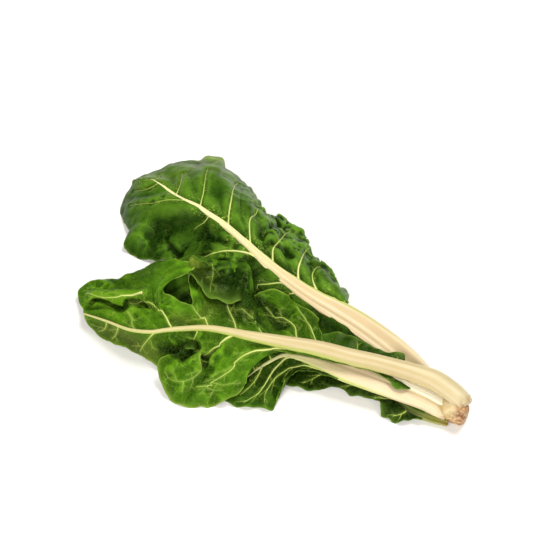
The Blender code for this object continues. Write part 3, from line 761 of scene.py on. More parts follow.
def stalkMaterial(name, look):
    # cream, warmer in clouds and grooves and greener towards the leaf, with a tan seam, a green edge, a pale
    # foot, a corky cut and fine specks
    material, tree, shader, place = newMaterial(name)
    warm = sums(tree, "MULTIPLY", clouds(tree, place, *stalkGrain["warm"]), stalkShares["warm"])
    cream = mixed(tree, warm, look["cream"], look["warm"])
    leafward = carried(tree, "leafward")
    young = spread(tree, leafward, *look["youngSpan"], *stalkShares["young"])
    cream = mixed(tree, young, cream, look["young"])
    cream = laid(tree, cream, "groove", stalkShares["groove"], look["warm"])
    cream = laid(tree, cream, "seam", stalkShares["seam"], look["tan"])
    edge = spread(tree, carried(tree, "edge"), *look["edgeSpan"])
    greener = spread(tree, leafward, *stalkShares["green"])
    cream = mixed(tree, sums(tree, "MULTIPLY", edge, greener), cream, look["green"])
    cream = laid(tree, cream, "foot", stalkShares["foot"], look["foot"])
    cream = laid(tree, cream, "cut", clouds(tree, place, *stalkGrain["cork"]), look["cork"])
    setInputs(tree, shader, {
        "Base Color": mixed(tree, clouds(tree, place, *stalkGrain["speck"]), cream, look["speck"]),
        "Roughness": 0.45, "Coat Weight": 0.08, "Coat Roughness": 0.25, "Subsurface Weight": 0.12,
        "Subsurface Radius": (0.004, 0.003, 0.0015),
        "Normal": raised(tree, grain(tree, place, *stalkGrain["skin"]), 0.2, 0.0002),
    })
    return material


# the darkest green is painted shade, light also serves as painted highlight, specks are painted glints
upperLook = {
    "deep": (0.006, 0.03, 0.001), "middle": (0.023, 0.085, 0.005), "light": (0.105, 0.235, 0.016),
    "dark": (0.001, 0.01, 0.0005), "tint": (0.3, 0.42, 0.04), "tintShare": 0.9,
    "vein": (0.3, 0.45, 0.06), "rimColour": (0.18, 0.33, 0.04), "pillowLight": 0.3, "netShare": 0.06,
    "litCrestShare": 0.75, "shadedHollowShare": 0.75, "lineShare": 0.22, "pleat": 0.35, "glintShare": 1.0,
    "glintColour": (0.32, 0.45, 0.06), "twigShare": 0.12, "veinShare": 0.35, "rimShare": 0.55, "rough": (0.28, 0.42),
    "specular": 0.09, "glossTint": (0.75, 1.0, 0.35), "bump": 0.3,
}
upperSide = leafMaterial("leaf_upper_side", upperLook)
# darker greens and less gloss for the upper side of leaves that lie under others: painted shade
shadySide = leafMaterial("leaf_shady_side", upperLook | {
    "deep": (0.003, 0.019, 0.0005), "middle": (0.015, 0.065, 0.003), "light": (0.085, 0.2, 0.013),
    "dark": (0.0005, 0.007, 0.0003), "specular": 0.07,
})
underSide = leafMaterial("leaf_under_side", upperLook | {
    "deep": (0.01, 0.048, 0.001), "middle": (0.035, 0.12, 0.003), "light": (0.135, 0.315, 0.01),
    "dark": (0.001, 0.011, 0.0005), "tint": (0.08, 0.105, 0.014),
    "vein": (0.42, 0.55, 0.1), "rimColour": (0.34, 0.5, 0.07), "pillowLight": 0.2, "netShare": 0.1,
    "litCrestShare": 0.65, "shadedHollowShare": 0.38, "lineShare": 0.28, "glintShare": 0.15,
    "glintColour": (0.3, 0.45, 0.06), "twigShare": 0.16, "veinShare": 0.3, "rimShare": 0.6, "rough": (0.33, 0.46),
    "specular": 0.04, "glossTint": (0.8, 1.0, 0.5),
})
veinSkin = veinMaterial("veins", {
    "root": (0.78, 0.74, 0.36), "middle": (0.5, 0.62, 0.13), "tip": (0.17, 0.32, 0.025),
    "middleSpan": (0.0, 0.55), "rootSpan": (0.5, 1.0),  # tones over which the colours change
})
stalkPaint = {
    "youngSpan": (0.35, 1.0), "edgeSpan": (0.78, 0.99),
    "cream": (0.57, 0.47, 0.245), "warm": (0.52, 0.4, 0.2), "tan": (0.42, 0.3, 0.15),
    "green": (0.42, 0.5, 0.08), "foot": (0.66, 0.59, 0.4), "young": (0.6, 0.57, 0.25),
    "speck": (0.52, 0.4, 0.2), "cork": (0.36, 0.2, 0.08),
}
# the front leaf's stalk: pink cream, set brighter as painted light, since it lies in the top leaf's shadow
litBlushPaint = stalkPaint | {"cream": (0.8, 0.66, 0.43), "young": (0.8, 0.88, 0.36), "warm": (0.7, 0.54, 0.34)}
# the back leaf's rib turns pale yellow-green towards the leaf, set brighter still as a painted highlight
# along it
pinkPaint = stalkPaint | {"edgeSpan": (0.6, 0.85), "cream": (0.65, 0.52, 0.3), "young": (0.95, 0.97, 0.52),
                          "warm": (0.58, 0.45, 0.26)}
# the inner leaf's stalk: white cream, set brighter still as painted light, since it lies in the top leaf's
# shadow
litWhitePaint = stalkPaint | {"cream": (1.0, 0.94, 0.72), "warm": (0.95, 0.85, 0.62), "foot": (1.0, 0.94, 0.72)}
greenPaint = stalkPaint | {"cream": (0.23, 0.29, 0.03), "young": (0.02, 0.08, 0.004),
                           "foot": (0.34, 0.34, 0.07), "youngSpan": (0.01, 0.07), "green": (0.3, 0.4, 0.05)}
stalkSkins = {
    "cream": stalkMaterial("stalk", stalkPaint), "pink": stalkMaterial("stalk_pink", pinkPaint),
    "lit_white": stalkMaterial("stalk_lit_white", litWhitePaint), "green": stalkMaterial("stalk_green", greenPaint),
    "lit_blush": stalkMaterial("stalk_lit_blush", litBlushPaint),
}


def makeLeaf(name, leaf, far, near):
    # a leaf's pieces, each in place of the solid of its part: two half blades, the veins and the stalk
    leaf["rib"] = [row + levelRib[len(row) - 5:] for row in leaf["rib"]]
    upper = shadySide if leaf["shady"] else upperSide
    skins = (upper, underSide) if leaf["face"] == 1 else (underSide, upper)
    bladeSlot = "leaf_upper_side" if leaf["face"] == 1 else "leaf_under_side"
    pieces, lines = [], []
    for halfName, half, outward in (("far", far, 1), ("near", near, -1)):
        blade, veins = makeHalf(f"fine_{name}_{halfName}_blade", leaf, half, outward, skins)
        pieces.append((blade, "blade", bladeSlot))
        lines += veins
    pieces.append((makeVeins(f"fine_{name}_veins", leaf, lines, veinSkin), "blade", "stalk"))
    pieces.append((makeStalk(f"fine_{name}_stalk", leaf, stalkSkins[leaf["paint"]]), "stalk", "stalk"))
    for piece, part, slot in pieces:
        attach(piece, "root")
        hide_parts(f"{name}_{part}")
    print(name, "made, faces:", *(len(piece.data.polygons) for piece, part, slot in pieces))


# Leaves: lengths in mm from the guide points' origin; a place counts the rows of the rib, with fractions.
# A leaf's keys: blade, the places where it starts and where its halves join; overlap, how far it runs in
# under the stalk; branch and twig, their gap, length, angle, pull to the margin, widths and tones at root
# and tip, and sides; savoy, height and half width of its blisters, then of the fine ones; trough, puff,
# wrinkle, crinkle, edgeWave, ragged and tuck, heights in mm; ruffle, height and wavelength of the margin's
# waves; for the stalk, paint, sides, ribs, ribHeight, dent, greenSide (1 is far) and seam, mm sideways; rib,
# rows of x, y, z, width and thickness, then roll and curl where it isn't level.
# A half's keys: columns along it and rows across; margin, its points; veins, place on the rib, place on the
# margin and the point between them; folds, a line in plan, depth and half width; lines, the main veins as
# places and shares out, with widths at root and tip; crumples, dents, shades (patches of painted shade) and
# tints, a line, its strength and half width, and limits where they are given
anyLeaf = {
    # a shady leaf lies under others, and its darker paint is painted shade
    "shady": False,  # True gives the upper side its darker paint
    "face": 1,  # 1 where the upper side is up, and -1 where the underside is
    "thickness": 0.5, "veinHeight": 0.3,
    "crease": 15,  # size of the sharp creases of a crumple
    "smoothTip": (20, 21, 1),  # places between which the leaf grows smoother, and the share of waves left
    # window and valley set the relief whose crests take painted highlight and hollows painted shade
    "window": (4, 3), "valley": (10, 9), "valleyDepth": 2.5,  # rows and columns of small and wide relief
    "step": 0.9,  # between the stalk's rings
    "channel": 0, "bulge": 0,  # depth of the stalk's channel, or height of its bulge, in stalk thicknesses
}
anyHalf = {"folds": [], "crumples": [], "dents": [], "paintedShades": [], "tints": []}

# the largest leaf, its upper side up
backLeaf = anyLeaf | {
    "blade": (5.75, 14.6), "seed": 11, "overlap": 1.6,
    "branch": (12, 15, 52, 0.3, (0.5, 0.2), (0.25, 0), 6),
    "twig": (5.5, 7, 60, 0.2, (0.4, 0.2), (0.12, 0), 5), "savoy": (1, 5, 0.5, 1.8), "trough": 1, "puff": 3,
    "ruffle": (1.6, 17), "smoothTip": (9.3, 10.8, 0.35), "wrinkle": 1.4, "crinkle": 0.45, "edgeWave": 1.2,
    "ragged": 1.8, "tuck": 1.8, "window": (6, 4), "valley": (22, 14), "paint": "pink", "sides": 72,
    "ribs": 16, "ribHeight": 0.06, "dent": 0.35, "greenSide": 1, "seam": -4.5, "channel": 0.16,
    "rib": [
        (233, -46, 6.5, 10, 4.5, 80, 0.03), (214, -46.5, 8.5, 14, 7, 60, 0.02),
        (196, -43.5, 12.5, 19, 8, 35), (178, -36, 16.5, 24, 9, 15), (148, -26, 20, 27, 9.5, 5),
        (109, -18, 24, 27, 9.5), (79, -16, 28, 25, 9), (55, -15, 31, 20, 8.5), (28, -11, 34, 16, 7.5),
        (-2, -5, 38, 12.5, 6.5), (-32, 4, 42, 10, 5.5), (-67, 15, 45, 8, 4.5), (-106, 24, 46, 5.5, 3.5),
        (-139, 29, 43, 3.8, 2.6), (-175, 43, 35, 2.6, 1.8), (-197, 48, 27, 2, 1.4), (-213, 47, 17, 1.4, 1),
    ],
}
backFar = anyHalf | {
    "columns": 420, "rows": 80,
    "margin": [
        (86, 0, 26), (80, 6, 20), (75, 20, 13), (60, 30, 5), (52, 31, 10), (46, 43, 3), (32, 48, 10),
        (18, 57, 2), (9, 57, 12), (-4, 75, 3), (-15, 79, 10), (-34, 88, 5), (-44, 80, 15), (-49, 68, 26),
        (-60, 77, 24), (-76, 92, 19), (-96, 108, 12), (-116, 121, 5), (-128, 123, 9), (-139, 126, 6),
        (-147, 132, 13), (-162, 124, 15), (-170, 117, 11), (-178, 105, 16), (-188, 97, 15), (-191, 84, 19),
        (-200, 72, 17), (-207, 59, 18), (-213, 47, 17),
    ],
    "veins": [
        (5.75, 0), (6.2, 4, 62, 14, 28), (6.95, 8, 28, 24, 32), (8, 10, -9, 33, 36),
        (9.2, 13.3, -43, 42, 43), (10.1, 16, -73, 52, 47), (11.1, 20, -110, 64, 46),
        (12.1, 23, -142, 61, 41), (13.1, 25, -167, 60, 32), (16, 28),
    ],
    "folds": [([(28, 20), (20, 38), (16, 56)], 5, 4), ([(-28, 20), (-32, 52), (-28, 80)], 6, 5)],
    "lines": [
        ([(7.11, 0), (7.06, 0.19), (6.63, 0.6)], (2.4, 0.7)),
        ([(7.95, 0), (7.35, 0.36), (7, 0.88)], (2.8, 0.8)),
        ([(9.06, 0), (8.79, 0.16), (8.13, 0.47), (7.99, 0.85)], (2.4, 0.7)),
        ([(10.1, 0), (9.75, 0.28), (9.35, 0.55), (9.35, 0.85)], (2.2, 0.7)),
        ([(11.01, 0), (10.5, 0.42), (10.3, 0.85)], (2.2, 0.7)),
        ([(12.04, 0), (11.71, 0.27), (11.4, 0.7)], (1.7, 0.6)),
        ([(13.08, 0), (12.8, 0.3), (12.55, 0.6)], (1.4, 0.5)),
        ([(14.3, 0), (14.1, 0.35), (14, 0.65)], (1, 0.4)),
    ],
    "crumples": [
        ([(6.3, 0.7), (6.9, 0.85), (7.6, 0.95), (8.5, 0.92)], 5, 13),
        ([(8.5, 0.6), (7.9, 0.5), (7.4, 0.6)], 3.2, 13), ([(9.3, 0.9), (9, 0.9)], 2.4, 9),
    ],
    "dents": [([(8.6, 0.3), (8.1, 0.36), (7.7, 0.32)], 4.5, 5), ([(8.6, 0.85), (8.1, 0.75)], 3.5, 4)],
    "paintedShades": [
        ([(8.6, 0.3), (8.1, 0.36), (7.7, 0.32)], 0.8, 5), ([(9.3, 0.1), (8.8, 0.05), (7.6, 0.05)], 0.7, 4),
        ([(8.6, 0.85), (8.1, 0.75)], 0.8, 4), ([(9.7, 0.5), (9.2, 0.3)], 0.5, 6),
        ([(7, 0.4), (6.6, 0.6)], 0.8, 8),
    ],
    "tints": [
        ([(11.52, 0.98), (11.3, 0.95), (11.05, 0.98)], 0.5, 8),
        # a faint lighter green over the tip half: painted sheen
        ([(14.5, 0.3), (13.2, 0.5), (12, 0.75), (11, 0.85)], 0.13, 26),
    ],
}
backNear = anyHalf | {
    "columns": 420, "rows": 80,
    "margin": [
        (88, -31, 25.5), (108, -32.4, 22), (134, -39.5, 13.5), (112, -48, 10), (88, -50, 10), (66, -51, 10),
        (42, -45, 13), (22, -42, 15), (8, -45, 15), (-4, -54, 15), (-20, -62, 13), (-40, -70, 12),
        (-60, -74, 9), (-82, -73, 8), (-104, -63, 9), (-109, -46, 9), (-100, -29, 8), (-113, -31, 10),
        (-128, -34, 6), (-146, -37, 1), (-160, -37, 0.5), (-168, -34, 5), (-172, -25, 9), (-177, -14, 7),
        (-187, -5, 4), (-200, 4, 1), (-209, 13, 1), (-213, 24, 5), (-213, 34, 10), (-212, 42, 14),
        (-213, 47, 17),
    ],
    "veins": [
        (5.75, 0), (6.5, 5), (7.3, 7, 26, -29, 22), (9.1, 14.5, -56, -18, 31), (10.9, 17, -96, -7, 27),
        (11.6, 22, -134, -2, 34), (12.3, 25, -157, 9, 38), (13.3, 27, -180, 22, 28), (16, 30),
    ],
    "folds": [
        ([(-98, 17), (-114, 4), (-132, -8), (-146, -17)], 7, 8), ([(-101, -14), (-109, -24)], 5, 4),
        ([(-10, -12), (-22, -30), (-24, -52)], 6, 5), ([(-52, -22), (-66, -50)], 4, 5),
    ],
    "lines": [
        ([(9.62, 0), (9.57, 0.19), (9.51, 0.37), (9.37, 0.61), (9.37, 0.85)], (2.6, 0.8)),
        ([(11.62, 0), (11.34, 0.2), (11.15, 0.36)], (1.9, 0.4)),
        ([(12.6, 0), (12.5, 0.25), (12.43, 0.5), (12.78, 0.83)], (1, 0.5)),
        ([(13.9, 0), (13.9, 0.35), (14.2, 0.75)], (0.9, 0.4)),
        ([(8.05, 0), (7.97, 0.11), (7.91, 0.35), (7.99, 0.53)], (3, 1)),
        ([(7.6, 0), (7.56, 0.1), (7.45, 0.3)], (2.8, 0.9)),
    ],
    "crumples": [
        ([(10.6, 0.3), (9.9, 0.4), (9.2, 0.5)], 2.8, 18), ([(11.6, 0.75), (11, 0.75)], 2, 12),
        ([(9.4, 0.3), (8.7, 0.4), (8.1, 0.5)], 2.4, 14),
    ],
    "dents": [
        ([(12.41, 0.53), (12.5, 0.47)], 1.6, 2.2), ([(12.73, 0.3), (12.8, 0.26)], 1, 3),
        ([(11.6, 0.6), (11.45, 0.52), (11.3, 0.44), (11.16, 0.34), (11.2, 0.22)], 3, 12),
        ([(11.02, 0.77), (10.9, 0.79), (10.6, 0.8)], 2.5, 4),
        ([(10.7, 0.3), (10.3, 0.25), (9.9, 0.12)], 3, 5),
    ],
    "paintedShades": [
        ([(11.6, 0.6), (11.45, 0.52), (11.28, 0.44), (11.14, 0.34), (11.2, 0.15)], 0.65, 14),
        ([(12.41, 0.53), (12.5, 0.47)], 0.7, 2), ([(12.73, 0.3), (12.8, 0.26)], 0.3, 3),
        ([(11.02, 0.77), (10.9, 0.79), (10.6, 0.8)], 1, 4), ([(11.25, 0.64), (11.05, 0.74)], 0.9, 3),
        ([(10.7, 0.3), (10.3, 0.25), (9.9, 0.12)], 0.5, 7), ([(8.6, 0.3), (7.9, 0.5), (7.4, 0.4)], 0.9, 12),
        ([(10.2, 0.45), (9.2, 0.7), (8.6, 0.65)], 0.65, 14), ([(8.2, 0.68), (7.85, 0.76)], 1, 10),
        ([(6.7, 0.1), (6.3, 0.35), (5.95, 0.6)], 0.95, 10),
        ([(11.36, 0.96), (11.2, 0.94), (11.05, 0.9)], 0.15, 7),
    ],
}
makeLeaf("back_leaf", backLeaf, backFar, backNear)

# over the others, its underside up
topLeaf = anyLeaf | {
    "face": -1, "blade": (6, 16.9), "seed": 23, "overlap": 1.6,
    "branch": (12, 15, 55, 0.25, (0.42, 0.2), (0.18, 0), 6),
    "twig": (6.5, 7, 65, 0.15, (0.3, 0.18), (0.08, 0), 5), "veinHeight": 0.45, "savoy": (0.8, 5, 0.35, 2),
    "trough": 0, "puff": 2.6, "ruffle": (1.2, 21), "smoothTip": (12.5, 14, 0.7), "wrinkle": 1.3,
    "crinkle": 0.3, "crease": 10, "edgeWave": 1.3, "ragged": 1.4, "tuck": 1, "window": (7, 3),
    "valley": (26, 11), "paint": "cream", "sides": 72, "ribs": 18, "ribHeight": 0.05, "dent": 0.3,
    "greenSide": -1, "seam": -30, "channel": 0.1,
    "rib": [
        (237.3, -51.5, 20.4, 17, 3, -22, 0.08), (235.4, -50.7, 22, 23, 5, -22, 0.08),
        (229, -49, 24, 24, 6, -20, 0.08), (214, -47, 25, 22, 8, -12, 0.06),
        (197, -47, 26.5, 21, 9.5, -6, 0.035), (176, -51.5, 28.5, 19, 10, -3, 0.02), (147, -59, 31, 17, 10),
        (121, -67, 33, 16.5, 9.5), (90, -76, 36.5, 15.5, 9), (60, -88, 40, 13, 8), (30, -100, 44, 9.5, 6.5),
        (13, -105, 45, 7.5, 5.5), (-11, -112, 44, 6, 4.5), (-35, -123, 40, 5, 3.8),
        (-48, -130, 37.5, 4.2, 3.2), (-61, -137, 34.5, 3.6, 2.8), (-83, -142, 30, 3, 2.4),
        (-113, -140, 23, 2.4, 1.8), (-144, -138, 14, 1.6, 1.2),
    ],
}
topFar = anyHalf | {
    "columns": 640, "rows": 66,
    "margin": [
        (147, -48.5, 31), (104, -61, 35), (89, -61, 35), (77, -46, 31), (67, -32, 28.6), (52, -31, 30.4),
        (36, -30, 32), (22, -24, 32), (8, -27, 31), (2, -38, 31), (-1, -52, 31.5), (-1, -62, 32.5),
        (-3, -59, 38), (-3, -68, 43), (-10, -74, 44.5), (-23, -76, 45), (-32, -77, 45.5), (-43, -71, 45.5),
        (-53, -66, 45), (-64, -61, 44), (-63, -65, 40), (-56, -74, 37.5), (-46, -87, 36), (-57, -89, 36),
        (-70, -89, 36), (-79, -87, 36), (-85, -80, 36), (-88, -73, 37), (-77, -72, 39.5), (-73, -66, 41),
        (-71, -61, 41.5), (-66, -57, 41.5), (-66, -49, 41), (-74, -43, 40.5), (-85, -44, 38), (-97, -41, 30),
        (-106, -40, 24), (-116, -44, 19), (-123, -55, 16), (-125, -68, 21), (-130, -80, 24), (-137, -87, 20),
        (-152, -88, 14), (-161, -96, 15), (-169, -104, 11), (-170, -113, 7), (-163, -122, 6),
        (-152, -130, 10), (-144, -138, 14),
    ],
    "veins": [
        (6, 0), (7.8, 1.4), (8.2, 5.5, 66, -50, 37), (8.8, 8.3, 33, -57, 34), (9.3, 11, 21, -78, 38.5),
        (9.8, 13, -19, -18, 37), (10.6, 14.5, -39, -20, 37.5), (11.3, 16, -58, -28, 38),
        (11.9, 19, -72, -42, 39), (12.1, 22, -29, -98, 40), (13.2, 25, -61, -106, 38),
        (13.38, 27, -72, -100, 37.5), (13.5, 31.5, -86, -85, 39), (13.65, 34.5, -92, -86, 36),
        (13.8, 36, -104, -80, 33), (14, 40, -114, -92, 29), (14.4, 44, -124, -106, 27),
        (16.2, 46, -136, -122, 21), (18, 48),
    ],
    "folds": [
        ([(-148, -125), (-126, -121), (-108, -120), (-103, -107), (-93, -109)], 8, 4.5),
        ([(-150, -113), (-129, -111), (-114, -101), (-97, -96)], -3.5, 5),
    ],
    "lines": [
        ([(7.95, 0), (8.04, 0.17), (8.19, 0.4), (8.26, 0.63), (8.31, 0.8)], (1.6, 0.6)),
        ([(7.2, 0), (7.4, 0.4), (7.6, 0.8)], (1.3, 0.5)),
        ([(8.6, 0), (8.55, 0.12), (8.5, 0.34), (8.65, 0.49), (8.81, 0.52), (8.86, 0.74)], (1.8, 0.6)),
        ([(9.45, 0), (9.8, 0.06), (10.14, 0.09), (10.47, 0.11)], (1.4, 0.5)),
        ([(10.81, 0), (10.86, 0.04), (11.05, 0.09), (11.1, 0.14)], (1.7, 0.7)),
        ([(11.96, 0), (12.08, 0.26), (12.15, 0.6), (12.15, 0.95)], (1.8, 0.9)),
        ([(13.48, 0), (13.5, 0.16), (13.79, 0.2), (14.06, 0.31), (14.3, 0.37)], (1.9, 0.8)),
        ([(13.95, 0.35), (14.37, 0.42), (14.92, 0.45), (15.52, 0.52), (15.81, 0.66), (15.6, 0.85)],
         (2.4, 0.6)),
        ([(15.72, 0), (15.6, 0.09), (15.31, 0.16), (15.16, 0.25)], (0.9, 0.5)),
        ([(11.2, 0.72), (11.1, 0.85), (11.2, 0.97)], (0.6, 0.3)),
    ],
    "crumples": [
        ([(11.7, 0.8), (10.9, 0.85), (10, 0.85)], 2.6, 22, 9.4, 12, 0.66),
        ([(8.96, 0.85), (8.81, 0.47), (8.5, 0.5)], 2.2, 16, 7.6, 9.5),
        ([(14.6, 0.7), (15.4, 0.8)], 1.6, 12, 13.8, 16.5), ([(13.3, 0.5), (12.5, 0.5)], 1.6, 10, 12.1, 13.6),
    ],
    "dents": [
        ([(16.32, 0.69), (15.6, 0.46), (15.09, 0.34), (14.25, 0.37), (13.96, 0.19)], 5, 1.8),
        ([(8.96, 0.85), (8.86, 0.69), (8.81, 0.47), (8.79, 0.29)], 4.5, 6),
        ([(12.06, 0.75), (12.08, 0.48), (11.9, 0.05)], 1.5, 7),
    ],
    "paintedShades": [
        ([(16.32, 0.69), (15.6, 0.46), (15.09, 0.34), (14.25, 0.37), (13.96, 0.19)], 1, 2.2),
        ([(8.96, 0.85), (8.86, 0.69), (8.81, 0.47), (8.79, 0.29)], 0.95, 8, 7.8, 9.6),
        ([(8, 0.5), (8.5, 0.5), (9.2, 0.5)], 0.6, 24, 6.5, 9.6),
        ([(10.6, 0.95), (10.3, 0.9), (10, 0.9)], 0.4, 12, 9.4, 11, 0.66),
        ([(10.3, 0.8), (9.9, 0.85), (9.6, 0.93)], 0.9, 10, 9.3, 10.5, 0.6),
        ([(11.9, 0.3), (10.8, 0.1), (10, 0.1)], 1, 20, 9.3, 12.05),
        ([(10.3, 0.18), (9.9, 0.2), (9.6, 0.3)], 0.9, 8), ([(12.6, 0.15), (13.2, 0.2)], 0.45, 6, 12.1, 13.5),
        ([(13.8, 0.7), (14.1, 0.6)], 0.25, 12, 13.4, 14.6),
        ([(11.4, 0.85), (10.7, 0.85), (10.1, 0.78)], 0.4, 15, 9.4, 12, 0.6),
    ],
    "tints": [
        ([(12.2, 0.1), (11.7, 0.1), (11.2, 0.1)], 0.5, 8, 10.8, 12.6),
        ([(13, 0.3), (12.6, 0.4)], 0.6, 9, 12.1, 13.4), ([(11.8, 0.85), (11.3, 0.9)], 0.7, 8, 10.9, 12, 0.6),
    ],
}
topNear = anyHalf | {
    "columns": 420, "rows": 66,
    "margin": [
        (147, -68.3, 31), (90, -84.3, 36), (64, -96.5, 39), (48, -102, 40), (44, -113, 33), (44, -128, 25),
        (45, -137, 18), (42, -143, 12), (36, -149, 8), (31, -156, 5), (20, -164, 1), (6, -173, 0.5),
        (-12, -176, 2), (-25, -172, 7), (-37, -162, 13), (-43, -153, 18), (-36, -146, 23), (-26, -141, 28),
        (-15, -136, 35), (-16, -134, 33), (-22, -139, 20), (-30, -147, 8), (-42, -150, 4), (-57, -148, 4),
        (-73, -145, 1), (-88, -145, 2), (-107, -146, 1), (-124, -145, 1), (-137, -143, 6), (-144, -138, 14),
    ],
    "veins": [
        (6, 0), (8.6, 2.2), (9, 6, 44, -113, 34), (9.2, 11, 27, -128, 31), (10.9, 14, -8, -133, 32),
        (12.4, 18, -15, -124, 40), (13.3, 20, -37, -133, 29), (14.7, 23, -59, -142, 21),
        (16.2, 25, -92, -143, 14), (17.1, 27, -116, -143, 12), (18, 29),
    ],
    "folds": [([(4, -114), (-2, -128), (2, -140)], 5, 4)],
    "lines": [
        ([(8.9, 0), (9.29, 0.3), (9.17, 0.53), (9.2, 0.74), (9.22, 0.78), (9.58, 0.82)], (2.3, 0.7)),
        ([(9.22, 0.78), (9.17, 0.84), (9.17, 0.92)], (0.5, 0.3)),
        ([(9.2, 0.74), (9.12, 0.8), (9.03, 0.87)], (0.5, 0.3)),
        ([(10.83, 0.49), (10.04, 0.67), (10.09, 0.83), (10.55, 0.91), (10.85, 0.93)], (0.6, 0.35)),
        ([(10.09, 0.83), (9.8, 0.9)], (0.5, 0.3)),
        ([(10.95, 0), (10.91, 0.15), (10.91, 0.26), (10.7, 0.47)], (2.3, 0.9)),
        ([(12.35, 0), (12.4, 0.19), (12.54, 0.47), (12.69, 0.69)], (1.5, 0.6)),
        ([(14.8, 0), (15, 0.4), (15.23, 0.82)], (1.3, 0.6)),
        ([(16.46, 0), (16.5, 0.4), (16.63, 0.75)], (1, 0.5)),
        ([(16.99, 0), (17.05, 0.4), (17.18, 0.82)], (0.9, 0.5)),
    ],
    "crumples": [([(13.3, 0.6), (12.6, 0.6), (11.6, 0.7)], 2.4, 14), ([(10.3, 0.4), (9.8, 0.6)], 1.2, 14)],
    "dents": [
        ([(10.78, 0.25), (10.6, 0.4), (10.66, 0.5)], 4, 1.6), ([(10.5, 0.5), (10.28, 0.55)], 3, 3),
        ([(13.6, 0.62), (13, 0.8), (12.5, 0.88)], 5, 5), ([(11.3, 0.62), (10.95, 0.7)], 2, 4),
    ],
    "paintedShades": [
        ([(10.78, 0.25), (10.6, 0.4), (10.66, 0.5)], 1, 2.2), ([(10.5, 0.5), (10.28, 0.55)], 1, 3.5),
        ([(14, 0.6), (13.4, 0.75), (12.9, 0.85), (12.4, 0.95)], 1, 6),
        ([(12.45, 0.85), (12.2, 1), (11.9, 1)], 1, 5), ([(11.3, 0.6), (10.98, 0.7)], 0.8, 4),
        ([(13.3, 0.35), (12.5, 0.5), (11.6, 0.4)], 0.35, 14),
        ([(8.4, 0.3), (8.8, 0.15), (9.6, 0.1)], 0.5, 8), ([(9.8, 0.6), (9.5, 0.75)], 0.65, 4),
        ([(10.2, 0.55), (9.9, 0.7), (9.4, 0.85)], 0.4, 6), ([(17.3, 0.7), (16.5, 0.6), (15.4, 0.6)], 0.5, 9),
    ],
    "tints": [([(16.9, 0.4), (16.29, 0.35), (15.47, 0.57), (14.63, 0.79)], 0.8, 15)],
}
makeLeaf("top_leaf", topLeaf, topFar, topNear)

# under the top leaf
frontLeaf = anyLeaf | {
    "shady": True, "blade": (5, 12.2), "seed": 37, "overlap": 1.4,
    "branch": (11, 12, 50, 0.3, (0.55, 0.25), (0.35, 0.05), 6),
    "twig": (6, 6, 60, 0.2, (0.35, 0.2), (0.12, 0), 5), "veinHeight": 0.35, "savoy": (1.2, 4.5, 0.4, 1.8),
    "trough": 0.6, "puff": 2.2, "ruffle": (1.2, 18), "wrinkle": 1, "crinkle": 0.5, "edgeWave": 1,
    "ragged": 1, "tuck": 0.8, "paint": "lit_blush", "sides": 60, "ribs": 14, "ribHeight": 0.06, "dent": 0.3,
    "greenSide": -1, "seam": 3, "bulge": 0.3,
    "rib": [
        (223.7, -65, 10, 10.5, 6), (213, -65.5, 12.5, 12, 7), (201, -65.5, 14, 13, 7.5, 2),
        (180, -68, 17.5, 17, 8, 8), (146, -73, 21.3, 19.5, 8.4, 10), (119, -76.5, 22.6, 19.5, 8, 5),
        (94, -78.5, 22.5, 15, 6.8), (76, -82, 22, 9, 5), (61, -87, 21, 6, 3.8), (52, -97, 18, 4.4, 3),
        (45, -108, 14.5, 3.4, 2.4), (40, -119, 11, 2.6, 2), (33, -131, 7.5, 2, 1.5), (26, -140, 5, 1.4, 1),
    ],
}
frontFar = anyHalf | {
    "columns": 150, "rows": 46,
    "margin": [
        (119, -66, 23), (84, -71, 24), (66, -70, 19), (50, -72, 14), (34, -81, 10), (20, -95, 9),
        (12, -111, 8), (12, -125, 6), (18, -135, 5), (26, -140, 5),
    ],
    "veins": [
        (5, 0), (7, 1.5), (8.3, 3, 56, -80, 20), (9.6, 5, 36, -98, 16), (11, 7, 28, -118, 11), (13, 9),
    ],
    "lines": [
        ([(9, 0), (9.2, 0.45), (9.63, 0.8)], (1.4, 0.6)),
        ([(10.4, 0), (10.5, 0.45), (10.8, 0.85)], (1.2, 0.5)),
        ([(7.6, 0), (7.9, 0.5), (8.2, 0.85)], (1.4, 0.6)),
    ],
    "paintedShades": [([(5.5, 0.3), (7.5, 0.5), (9.5, 0.5)], 0.8, 17)],
}
frontNear = anyHalf | {
    "columns": 190, "rows": 50,
    "margin": [
        (119, -87.5, 22), (92, -91, 21), (80, -97, 18), (74, -106, 14), (74, -120, 8), (76, -137, 1),
        (62, -142, 3), (50, -148, 1), (38, -151, 1), (27, -148, 2), (26, -140, 5),
    ],
    "veins": [
        (5, 0), (5.9, 1.8), (7, 4.6, 72, -100, 16), (9.2, 7, 55, -124, 9), (11.4, 8.4, 40, -138, 6),
        (13, 10),
    ],
    "lines": [
        ([(7.66, 0), (8.13, 0.18), (8.62, 0.3), (8.82, 0.55), (8.93, 0.7), (9.79, 0.86)], (2.4, 0.8)),
        ([(5.6, 0.1), (6.49, 0.26), (7.36, 0.45), (8.05, 0.52), (8.24, 0.71), (8, 0.92)], (2, 0.7)),
        ([(9.83, 0), (10, 0.2), (10.39, 0.39), (11.14, 0.6)], (1.6, 0.6)),
    ],
    "crumples": [([(6.5, 0.5), (8, 0.8), (9.5, 0.7)], 1.6, 12)],
    "paintedShades": [([(5.5, 0.3), (7.5, 0.5), (9.5, 0.4)], 0.9, 19)],
}
makeLeaf("front_leaf", frontLeaf, frontFar, frontNear)

